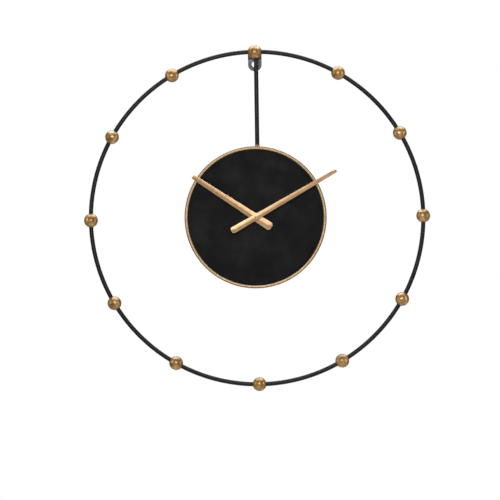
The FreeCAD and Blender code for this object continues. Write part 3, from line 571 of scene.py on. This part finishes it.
def closed_grid(steps, count):
    """The faces between closed rows of count points, where the last row joins the first."""
    faces = []
    for step in range(steps):
        here, there = step * count, ((step + 1) % steps) * count
        for point in range(count):
            beside = (point + 1) % count
            faces.append((here + point, here + beside, there + beside, there + point))
    return faces


def lofted(rows):
    """The skin between closed rows of points, with a cap at each end."""
    count = len(rows[0])
    verts = [point for row in rows for point in row]
    faces = closed_grid(len(rows), count)[:(len(rows) - 1) * count]
    faces.append(tuple(reversed(range(count))))
    faces.append(tuple(range(len(verts) - count, len(verts))))
    return verts, faces


def prism(outline, y_front, y_back):
    """An (x, z) outline extruded between two depths."""
    return lofted([[Vector((x, y, z)) for x, z in outline] for y in (y_front, y_back)])


def joined(shells):
    """Several (verts, faces) shells as one."""
    verts, faces = [], []
    for shell_verts, shell_faces in shells:
        start = len(verts)
        verts += shell_verts
        faces += [tuple(start + index for index in face) for face in shell_faces]
    return verts, faces


def mesh_object(name, shell, crease_deg=CREASE_DEG):
    """A clean mesh object: no doubled points, outward normals, smooth up to the crease angle."""
    mesh = bpy.data.meshes.new(name)
    mesh.from_pydata([tuple(vert) for vert in shell[0]], [], shell[1])
    work = bmesh.new()
    work.from_mesh(mesh)
    bmesh.ops.remove_doubles(work, verts=work.verts, dist=1e-7)
    bmesh.ops.dissolve_degenerate(work, edges=work.edges, dist=1e-8)
    bmesh.ops.recalc_face_normals(work, faces=work.faces)
    work.to_mesh(mesh)
    work.free()
    mesh.shade_smooth()
    mesh.set_sharp_from_angle(angle=math.radians(crease_deg))
    made = bpy.data.objects.new(name, mesh)
    bpy.context.scene.collection.objects.link(made)
    return made


def carve(target, tool, operation):
    """Applies a boolean of tool to target, and removes the tool."""
    modifier = target.modifiers.new("Carve", "BOOLEAN")
    modifier.operation = operation
    modifier.solver = "EXACT"
    modifier.object = tool
    depsgraph = bpy.context.evaluated_depsgraph_get()
    carved = bpy.data.meshes.new_from_object(target.evaluated_get(depsgraph))
    target.modifiers.remove(modifier)
    target.data = carved
    bpy.data.objects.remove(tool)


def soften(made, width, segments=3):
    """Rounds the sharp edges of a piece."""
    bevel = made.modifiers.new("Soft edges", "BEVEL")
    bevel.width = width
    bevel.segments = segments
    bevel.limit_method = "ANGLE"
    bevel.angle_limit = math.radians(ROUNDED_FROM_DEG)


def finish_piece(made, slot, body, *replaced, finish=None):
    """Gives a piece its finish and its body, and hides the CAD nodes that it stands for."""
    made.data.materials.clear()
    made.data.materials.append(finish or FINISHES[slot])
    even = made.modifiers.new("Even shading", "WEIGHTED_NORMAL")
    even.keep_sharp = True
    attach(made, body)
    if replaced:
        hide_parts(*replaced)
    return made


# Frame

def ring():
    """The round bar, bent to a circle."""
    lo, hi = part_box("outer_ring")
    bar = (hi.y - lo.y) / 2
    centre_line = (hi.x - lo.x) / 2 - bar
    sides = 28
    angles = [2 * math.pi * side / sides for side in range(sides)]
    section = [(centre_line + bar * math.cos(a), bar * math.sin(a)) for a in angles]
    made = mesh_object("ring", turned(section, 720, middle("outer_ring")))
    return finish_piece(made, "black_metal", FRAME_BODY, "outer_ring")


def ball(number):
    """A ball on the ring: turned, drilled, lightly dented away from the hole's mouths, in leaf."""
    node = "hour_ball_%02d" % number
    centre = middle(node)
    outward = centre - middle("outer_ring")
    tangent = outward.cross(ALONG_Y).normalized()
    mouth = math.asin(BALL_HOLE_RADIUS / BALL_RADIUS)
    steps = 60
    arc = [mouth + (math.pi - 2 * mouth) * step / steps for step in range(steps + 1)]
    profile = [(BALL_RADIUS * math.sin(a), -BALL_RADIUS * math.cos(a)) for a in arc]
    verts, faces = turned(profile, 96, centre, tangent)
    for index, vert in enumerate(verts):
        spoke = vert - centre
        if math.hypot(spoke.dot(ALONG_Y), spoke.dot(outward.normalized())) < BALL_EVEN_RADIUS:
            continue
        lump = 0.5 + 0.5 * noise.noise(vert / BALL_LUMP_SIZE)
        dent = max(0.0, 1 - (noise.voronoi(vert / BALL_DENT_SIZE)[0][0] / BALL_DENT_REACH) ** 2)
        sunk = BALL_LUMP * ((1 - BALL_DENT_SHARE) * lump + BALL_DENT_SHARE * dent)
        verts[index] = centre + spoke * (1 - sunk / BALL_RADIUS)
    made = mesh_object("ball_%02d" % number, (verts, faces))
    return finish_piece(made, "gold_metal", FRAME_BODY, node)


def under_ball(x, y):
    """The height of the top ball's underside above a point."""
    drop = BALL_RADIUS ** 2 - (x - TOP_BALL.x) ** 2 - (y - TOP_BALL.y) ** 2
    return TOP_BALL.z - math.sqrt(max(drop, 0.0))


def over_rim(x):
    """The height of the rim's outside at its top, over a place x."""
    return DIAL_CENTRE.z + math.sqrt(RIM_RADIUS ** 2 - (x - DIAL_CENTRE.x) ** 2)


def rod():
    """The rod, coped to the ball above it and to the rim below."""
    lo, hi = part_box("hanger_rod")
    radius = (hi.x - lo.x) / 2
    centre = middle("hanger_rod")
    sides, levels = 48, 24
    rows = []
    for level in range(levels + 1):
        share = level / levels
        row = []
        for side in range(sides):
            angle = 2 * math.pi * side / sides
            x = centre.x + radius * math.cos(angle)
            y = centre.y + radius * math.sin(angle)
            z = over_rim(x) + share * (under_ball(x, y) - over_rim(x))
            row.append(Vector((x, y, z)))
        rows.append(row)
    made = mesh_object("rod", lofted(rows))
    return finish_piece(made, "black_metal", FRAME_BODY, "hanger_rod")


def weld_bead():
    """The run of weld between the rod and the top ball."""
    lo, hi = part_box("hanger_rod")
    radius = (hi.x - lo.x) / 2
    centre = middle("hanger_rod")
    rows, around, sides = [], 60, 12
    for step in range(around):
        angle = 2 * math.pi * step / around
        out = Vector((math.cos(angle), math.sin(angle), 0))
        foot = Vector((centre.x, centre.y, 0)) + out * radius
        foot.z = under_ball(foot.x, foot.y)
        size = BEAD_RADIUS * (1 + BEAD_UNEVENNESS * noise.noise(3 * out))
        row = []
        for side in range(sides):
            turn = 2 * math.pi * side / sides
            row.append(foot + size * (out * math.cos(turn) + Vector((0, 0, math.sin(turn)))))
        rows.append(row)
    verts = [point for row in rows for point in row]
    made = mesh_object("rod_weld", (verts, closed_grid(around, sides)))
    return finish_piece(made, "black_metal", FRAME_BODY)


def tab_profile(z, upper):
    """The tab's back surface at a height: its depth and its front normal, with eased bends."""
    top_bend = TAB_BEND_Z - upper * TAB_SLOPE

    def depth(height):
        share = (height - TAB_BEND_Z) / (top_bend - TAB_BEND_Z)
        return upper * min(max(share, 0.0), 1.0)

    reach = [depth(z + TAB_BEND_EASE * offset / 4) for offset in range(-4, 5)]
    y = sum(reach) / len(reach)
    slope = (reach[-1] - reach[0]) / (2 * TAB_BEND_EASE)
    normal = Vector((0, -1, slope)).normalized()
    return y, normal


def tab_bead_height(x, z):
    """How far the pressed U stands above the tab's front at a point."""
    away = math.hypot(x, z) if z < 0 else abs(x)
    rise = max(0.0, 1 - ((away - TAB_BEAD_MIDDLE) / TAB_BEAD_HALF) ** 2)
    fade = min(1.0, max(0.0, (TAB_BEAD_TOP_Z - z) / MM))
    return TAB_BEAD_HEIGHT * math.sqrt(rise) * fade


def tab_edge(half, lower, side, top):
    """The outline, in the flat, of the tab's lower part: a half circle under a half square."""
    edge = []
    for step in range(lower):
        angle = math.pi + math.pi * step / lower
        edge.append((half * math.cos(angle), half * math.sin(angle)))
    edge += [(half, half * step / side) for step in range(side)]
    edge += [(half - 2 * half * step / top, half) for step in range(top)]
    edge += [(-half, half - half * step / side) for step in range(side)]
    return edge


def tab_pattern(half, top_z):
    """The tab in the flat: its (x, z) points, round the hole and then upwards, and its cells."""
    lower, side, top, rings, levels = 64, 16, 32, 26, 20
    edge = tab_edge(half, lower, side, top)
    count = len(edge)
    flat, cells = [], []
    for ring_index in range(rings + 1):
        share = ring_index / rings
        for x, z in edge:
            inner = TAB_HOLE_RADIUS / math.hypot(x, z)
            scale = inner + share * (1 - inner)
            flat.append((x * scale, z * scale))
    for ring_index in range(rings):
        for point in range(count):
            here, beside = ring_index * count + point, ring_index * count + (point + 1) % count
            cells.append((here, beside, beside + count, here + count))
    first_top = rings * count + lower + side
    row = [first_top + step for step in range(top + 1)]
    for level in range(1, levels + 1):
        z = half + (top_z - half) * level / levels
        new_row = []
        for index in row:
            new_row.append(len(flat))
            flat.append((flat[index][0], z))
        cells += [
            (row[step], row[step + 1], new_row[step + 1], new_row[step]) for step in range(top)]
        row = new_row
    return flat, cells


def tab():
    """The bent strip: a round lower end with its hole and bead, and a dish for the top ball."""
    lo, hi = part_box("hanging_tab")
    flat, cells = tab_pattern((hi.x - lo.x) / 2, hi.z)
    fronts, backs = [], []
    for x, z in flat:
        y, normal = tab_profile(z, lo.y + TAB_THICK)
        back = Vector((x, y, z))
        front = back + normal * (TAB_THICK + tab_bead_height(x, z))
        across = BALL_RADIUS ** 2 - (front.x - TOP_BALL.x) ** 2 - (front.z - TOP_BALL.z) ** 2
        if across > 0:
            front.y = max(front.y, TOP_BALL.y + math.sqrt(across))
        fronts.append(front)
        backs.append(back)
    return tab_from_sheets(fronts, backs, cells)


def tab_from_sheets(fronts, backs, cells):
    """Closes the tab's two sheets into one solid along all their open edges."""
    total = len(fronts)
    faces = list(cells) + [tuple(total + index for index in reversed(cell)) for cell in cells]
    sides = {}
    for cell in cells:
        for start, end in zip(cell, cell[1:] + cell[:1]):
            sides[(start, end)] = True
    for start, end in sides:
        if (end, start) not in sides:
            faces.append((end, start, start + total, end + total))
    made = mesh_object("tab", (fronts + backs, faces), crease_deg=50)
    soften(made, 0.3 * MM)
    return finish_piece(made, "grey_steel", FRAME_BODY, "hanging_tab")


# Dial

def rim():
    """The hoop: a crowned front, a lip over the plate, and the rod's weld on top."""
    lo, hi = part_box("dial_rim")
    plate_lo, plate_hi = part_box("dial_plate")
    plate_radius = (plate_hi.x - plate_lo.x) / 2
    lip = RIM_RADIUS - RIM_FACE_WIDTH
    crown_y = lo.y + RIM_CROWN
    crest = RIM_RADIUS - RIM_FACE_WIDTH / 2
    steps = 14
    crown = []
    for step in range(steps + 1):
        across = math.pi * step / steps
        reach = crest + RIM_FACE_WIDTH / 2 * math.cos(across)
        crown.append((reach, crown_y - RIM_CROWN * math.sin(across)))
    inside = [
        (lip, plate_lo.y), (plate_radius, plate_lo.y), (plate_radius, hi.y), (RIM_RADIUS, hi.y)]
    profile = rounded(crown + inside, 0.25 * MM, 3)
    centre = Vector((DIAL_CENTRE.x, 0, DIAL_CENTRE.z))
    made = mesh_object("rim", joined([turned(profile, 480, centre), weld_cone()]))
    return finish_piece(made, "gold_metal", FRAME_BODY, "dial_rim", finish=RIM_FINISH)


def weld_cone():
    """The fillet of weld at the foot of the rod, under the rim's leaf."""
    lo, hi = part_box("hanger_rod")
    radius = (hi.x - lo.x) / 2
    centre = middle("hanger_rod")
    sides, levels = 60, 8
    rows = []
    for level in range(levels + 1):
        share = level / levels
        row = []
        for side in range(sides):
            angle = 2 * math.pi * side / sides
            out = Vector((math.cos(angle), math.sin(angle), 0))
            lump = WELD_LUMP * noise.noise(2.5 * out + Vector((0, 0, 2 * share)))
            flare = (WELD_FOOT_RADIUS - radius) * (1 - share) ** 2
            reach = min(radius + WELD_STEP + flare + lump * (1 - share), WELD_FOOT_RADIUS)
            x = centre.x + out.x * reach
            y = centre.y + out.y * reach
            foot = over_rim(x) - WELD_SUNK
            row.append(Vector((x, y, foot + share * (over_rim(x) + WELD_HEIGHT - foot))))
        rows.append(row)
    return lofted(rows)


def plate():
    """The painted sheet behind the rim's lip, very slightly wavy."""
    lo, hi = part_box("dial_plate")
    radius = (hi.x - lo.x) / 2
    rings = 28
    band = (radius - PLATE_HOLE_RADIUS) / rings
    spread = [PLATE_HOLE_RADIUS + band * ring_index for ring_index in range(rings + 1)]
    profile = [(r, lo.y) for r in spread] + [(r, hi.y) for r in reversed(spread)]
    centre = Vector((DIAL_CENTRE.x, 0, DIAL_CENTRE.z))
    verts, faces = turned(profile, 240, centre)
    for vert in verts:
        wave = noise.noise(Vector((vert.x, 0, vert.z)) / PLATE_WAVE_SIZE)
        dip = PLATE_WAVE * (0.5 + 0.5 * wave)
        vert.y += dip if vert.y < DIAL_CENTRE.y else -dip
    made = mesh_object("face_plate", (verts, faces))
    return finish_piece(made, "dial_black", FRAME_BODY, "dial_plate")


def washer():
    """The thin washer under the nut, stamped with a rolled edge."""
    lo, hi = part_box("dial_washer")
    outer = (hi.x - lo.x) / 2
    corners = [
        (NECK_HOLE_RADIUS, lo.y), (outer, lo.y), (outer, hi.y), (NECK_HOLE_RADIUS, hi.y)]
    made = mesh_object("washer", turned(rounded(corners, 0.18 * MM, 3), 96, axis_at("dial_washer")))
    return finish_piece(made, "bright_brass", FRAME_BODY, "dial_washer")


def nut():
    """The hexagon nut, with its corners chamfered on both faces."""
    lo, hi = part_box("fixing_nut")
    half_flats = (hi.z - lo.z) / 2
    axis = axis_at("fixing_nut")
    thick = hi.y - lo.y
    near_face = [0.0, 0.12 * MM, 0.3 * MM, 0.5 * MM]
    depths = near_face + [thick - depth for depth in reversed(near_face)]
    sides = 96
    rows = []
    for step in range(sides):
        angle = 2 * math.pi * step / sides
        in_side = (angle - math.pi / 2 + math.pi / 6) % (math.pi / 3) - math.pi / 6
        flat = half_flats / math.cos(in_side)
        row = []
        for depth in depths:
            from_face = min(depth, thick - depth)
            reach = min(flat, half_flats - 0.1 * MM + from_face * NUT_BEVEL_SLOPE)
            row.append(Vector((reach * math.cos(angle), lo.y + depth, reach * math.sin(angle))))
        bore_x, bore_z = NECK_HOLE_RADIUS * math.cos(angle), NECK_HOLE_RADIUS * math.sin(angle)
        row += [Vector((bore_x, y, bore_z)) for y in (hi.y, lo.y)]
        rows.append([axis + point for point in row])
    verts = [point for row in rows for point in row]
    made = mesh_object("fixing_nut_turned", (verts, closed_grid(sides, len(rows[0]))), crease_deg=24)
    return finish_piece(made, "bright_brass", FRAME_BODY, "fixing_nut")


def bushing():
    """The movement's neck, with a real helical thread where it shows."""
    lo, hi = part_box("threaded_bushing")
    outer = (hi.x - lo.x) / 2
    axis = axis_at("threaded_bushing")
    sides, pitch_rows = 72, 12
    thread_end = lo.y + THREAD_TURNS * THREAD_PITCH
    row_count = THREAD_TURNS * pitch_rows + 1
    depths = [lo.y + THREAD_PITCH * row / pitch_rows for row in range(row_count)]
    rows = []
    for step in range(sides):
        share = step / sides
        angle = 2 * math.pi * share
        row = []
        for y in depths:
            phase = ((y - lo.y) / THREAD_PITCH + share) % 1
            cut = THREAD_DEPTH * abs(2 * phase - 1)
            fade = min(1.0, (thread_end - y) / THREAD_PITCH)
            entry = max(0.0, NECK_ENTRY - (y - lo.y))
            row.append((outer - cut * fade - entry, y))
        row += [(outer, hi.y), (NECK_BORE_RADIUS, hi.y), (NECK_BORE_RADIUS, lo.y)]
        rows.append([axis + Vector((r * math.cos(angle), y, r * math.sin(angle))) for r, y in row])
    verts = [point for row in rows for point in row]
    made = mesh_object("neck", (verts, closed_grid(sides, len(rows[0]))), crease_deg=40)
    return finish_piece(made, "bright_brass", FRAME_BODY, "threaded_bushing")


# Hands

def hand_half_width(spec, z):
    """Half the hand's width at a distance along it, with its corners clipped."""
    if z < spec["knee"]:
        share = (z + spec["tail"]) / (spec["knee"] + spec["tail"])
        half = spec["tail_half"] + share * (spec["knee_half"] - spec["tail_half"])
    else:
        share = (z - spec["knee"]) / (spec["tip"] - spec["knee"])
        half = spec["knee_half"] + share * (spec["tip_half"] - spec["knee_half"])
    at_tail = spec["tail_half"] - spec["clip"] + (z + spec["tail"])
    at_tip = spec["tip_half"] - spec["clip"] / 2 + (spec["tip"] - z)
    return min(half, at_tail, at_tip)


def hand_section(spec, z):
    """A hollow-ground section: a flat back, thin edges and a ridge that fades out at both ends."""
    half = hand_half_width(spec, z)
    to_end = min(z + spec["tail"], spec["tip"] - z)
    fullness = min(1.0, 0.12 + 0.88 * to_end / HAND_END_SLOPE)
    ridge = HAND_EDGE + (HAND_RIDGE - HAND_EDGE) * fullness
    one_side = [(half - 0.1 * MM, 0.0), (half, 0.12 * MM), (half, HAND_EDGE - HAND_BEVEL)]
    for share in (0.97, 0.93, 0.8, 0.65, 0.5, 0.36, 0.24, 0.14, 0.06, 0.02):
        rise = (1 - share) ** HAND_HOLLOW
        one_side.append((half * share, HAND_EDGE + (ridge - HAND_EDGE) * rise))
    front = [Vector((x, spec["back"] - height, z)) for x, height in one_side]
    mirrored = [Vector((-point.x, point.y, point.z)) for point in reversed(front)]
    return front + [Vector((0, spec["back"] - ridge, z))] + mirrored


def hand_stations(spec):
    """The distances along a hand that its sections stand at, closer together near its ends."""
    start, end = -spec["tail"], spec["tip"]
    first, last = start + HAND_END_SLOPE, end - HAND_END_SLOPE
    corner, spans = 4, 40
    stations = [start, start + HAND_EASE]
    stations += [start + spec["clip"] * step / corner for step in range(1, corner + 1)]
    stations += [first + (last - first) * step / spans for step in range(spans + 1)]
    stations += [end - spec["clip"] / 2 * (1 - step / corner) for step in range(corner)]
    return stations + [end - HAND_EASE, end]


def hand(name, node, spec, body):
    """A ridged blade with a turned hub, on its tube."""
    rows = [hand_section(spec, z) for z in hand_stations(spec)]
    made = mesh_object(name, lofted(rows), HAND_CREASE_DEG)
    lo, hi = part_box(node)
    corners = [(0.0, lo.y), (spec["hub"], lo.y), (spec["hub"], hi.y), (0.0, hi.y)]
    hub = mesh_object("hub_tool", turned(rounded(corners, 0.15 * MM, 2), 72, Vector()))
    carve(made, hub, "UNION")
    bore = [(0.0, lo.y - MM), (spec["bore"], lo.y - MM), (spec["bore"], hi.y + MM), (0.0, hi.y + MM)]
    carve(made, mesh_object("bore_tool", turned(bore, 72, Vector())), "DIFFERENCE")
    made.data.shade_smooth()
    made.data.set_sharp_from_angle(angle=math.radians(HAND_CREASE_DEG))
    axis = axis_at("minute_tube")
    turn = Matrix.Rotation(math.radians(spec["angle_deg"]), 4, "Y")
    made.matrix_world = Matrix.Translation(axis) @ turn
    return finish_piece(made, "hand_gold", body, node)


def cap_nut():
    """The small round nut on the minute tube, with a domed face and an open middle."""
    lo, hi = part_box("hand_nut")
    outer, hole = (hi.x - lo.x) / 2, TUBE_RADIUS
    corners = [
        (hole, lo.y + 0.1 * MM), (hole + 0.25 * MM, lo.y), (outer - 0.5 * MM, lo.y + 0.1 * MM),
        (outer, lo.y + 0.5 * MM), (outer, hi.y), (hole, hi.y)]
    profile = rounded(corners, 0.2 * MM, 3)
    made = mesh_object("cap_nut", turned(profile, 72, axis_at("hand_nut")))
    return finish_piece(made, "hand_gold", "minute_hand_set", "hand_nut")


# Movement, seen from the back

def copy_of(node, name):
    """A piece with a node's own shape: its split vertices joined and its flat faces whole."""
    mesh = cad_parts[node].data.copy()
    work = bmesh.new()
    work.from_mesh(mesh)
    bmesh.ops.remove_doubles(work, verts=work.verts, dist=1e-6)
    bmesh.ops.dissolve_limit(
        work, angle_limit=math.radians(0.5), verts=work.verts, edges=work.edges)
    work.to_mesh(mesh)
    work.free()
    mesh.shade_smooth()
    mesh.set_sharp_from_angle(angle=math.radians(CREASE_DEG))
    made = bpy.data.objects.new(name, mesh)
    bpy.context.scene.collection.objects.link(made)
    return made


def softened(node, name, slot, body, width):
    """A node's own shape with its sharp edges rounded."""
    made = copy_of(node, name)
    soften(made, width)
    return finish_piece(made, slot, body, node)


def tube_end():
    """The minute tube, with a short slot sunk into its open end."""
    made = copy_of("minute_tube", "minute_tube_slotted")
    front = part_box("minute_tube")[0].y
    axis = axis_at("minute_tube")
    corners = [(-1, -1), (1, -1), (1, 1), (-1, 1)]
    outline = [
        (axis.x + x * SLOT_HALF_WIDTH, axis.z + z * SLOT_HALF_LENGTH) for x, z in corners]
    slot = mesh_object("slot_tool", prism(outline, front - MM, front + SLOT_DEPTH))
    carve(made, slot, "DIFFERENCE")
    made.data.set_sharp_from_angle(angle=math.radians(CREASE_DEG))
    return finish_piece(made, "bright_brass", "minute_hand_set", "minute_tube")


# Studio

def camera():
    """Looks straight along +Y from below and left of the ring's centre, rolled a little."""
    centre = middle("outer_ring")
    data = bpy.data.cameras.new("camera")
    data.lens = VIEW_LENS
    data.sensor_width = SENSOR_WIDTH
    made = bpy.data.objects.new("camera", data)
    bpy.context.scene.collection.objects.link(made)
    roll = math.radians(VIEW_ROLL_DEG)
    up = Vector((math.sin(roll), 0, math.cos(roll)))
    back = Vector((0, -1, 0))
    axes = Matrix((up.cross(back), up, back)).transposed().to_4x4()
    place = centre + Vector((-VIEW_RIGHT, -VIEW_DISTANCE, -VIEW_UP))
    made.matrix_world = Matrix.Translation(place) @ axes
    bpy.context.scene.camera = made


def softbox(name, place, target, width, height, watts):
    """A rectangular light aimed at a point."""
    data = bpy.data.lights.new(name, "AREA")
    data.shape = "RECTANGLE"
    data.size = width
    data.size_y = height
    data.energy = watts
    made = bpy.data.objects.new(name, data)
    made.location = place
    made.rotation_euler = (Vector(target) - Vector(place)).to_track_quat("-Z", "Y").to_euler()
    made.visible_camera = False
    bpy.context.scene.collection.objects.link(made)


def studio():
    """A white backdrop, dim surroundings, and soft lights over, before and beside the clock."""
    scene = bpy.context.scene
    scene.view_settings.view_transform = "Standard"
    world = bpy.data.worlds.new("studio")
    world.use_nodes = True
    scene.world = world
    tree = world.node_tree
    surroundings = tree.nodes["Background"]
    surroundings.inputs["Color"].default_value = (1, 1, 1, 1)
    surroundings.inputs["Strength"].default_value = SURROUNDINGS
    backdrop = tree.nodes.new("ShaderNodeBackground")
    backdrop.inputs["Color"].default_value = (1, 1, 1, 1)
    backdrop.inputs["Strength"].default_value = 1.0
    rays = tree.nodes.new("ShaderNodeLightPath")
    chooser = tree.nodes.new("ShaderNodeMixShader")
    tree.links.new(rays.outputs["Is Camera Ray"], chooser.inputs[0])
    tree.links.new(surroundings.outputs[0], chooser.inputs[1])
    tree.links.new(backdrop.outputs[0], chooser.inputs[2])
    tree.links.new(chooser.outputs[0], tree.nodes["World Output"].inputs["Surface"])
    centre = middle("outer_ring")
    for name, place, width, height, watts in SOFTBOXES:
        softbox(name, place, centre, width, height, watts)


def floor():
    """A wide pale floor with faint clouds, lifted a little towards the white of the backdrop."""
    lo = CAD_BOX[0]
    half = FLOOR_SIZE / 2
    z = lo.z - FLOOR_DROP
    points = FLOOR_CELLS + 1
    verts, faces = [], []
    for row in range(points):
        for column in range(points):
            x = -half + FLOOR_SIZE * column / FLOOR_CELLS
            y = -half + FLOOR_SIZE * row / FLOOR_CELLS
            verts.append(Vector((x, min(y, FLOOR_BACK_Y), z)))
    for row in range(FLOOR_CELLS):
        for column in range(FLOOR_CELLS):
            start = row * points + column
            faces.append((start, start + 1, start + points + 1, start + points))
    made = mesh_object("floor", (verts, faces))
    paper = Finish("paper")
    colour = paper.ramp(paper.noise(0.8, 3.0), (0.3, tone(240, 240, 240)), (0.7, tone(248, 248, 248)))
    paper.relief(paper.noise(0.02, 2.0), 0.0002)
    seen = paper.add("LightPath").outputs["Is Camera Ray"]
    paper.shader.inputs["Emission Color"].default_value = (1, 1, 1, 1)
    paper.feed(paper.shader.inputs["Emission Strength"], paper.times(seen, FLOOR_GLOW))
    made.data.materials.append(paper.done(colour, paper.span(paper.noise(0.3), 0.7, 0.8)))


def main():
    """Builds the clock's visible pieces and the studio."""
    camera()
    studio()
    floor()
    finish_cad_nodes()
    ring()
    for number in range(1, BALL_COUNT + 1):
        ball(number)
    rod()
    weld_bead()
    tab()
    rim()
    plate()
    washer()
    nut()
    bushing()
    hand("hour_blade", "hour_hand", HOUR_HAND, "hour_hand_set")
    hand("minute_blade", "minute_hand", MINUTE_HAND, "minute_hand_set")
    cap_nut()
    tube_end()
    for node, name, slot, body, width in SOFTENED:
        softened(node, name, slot, body, width)


main()
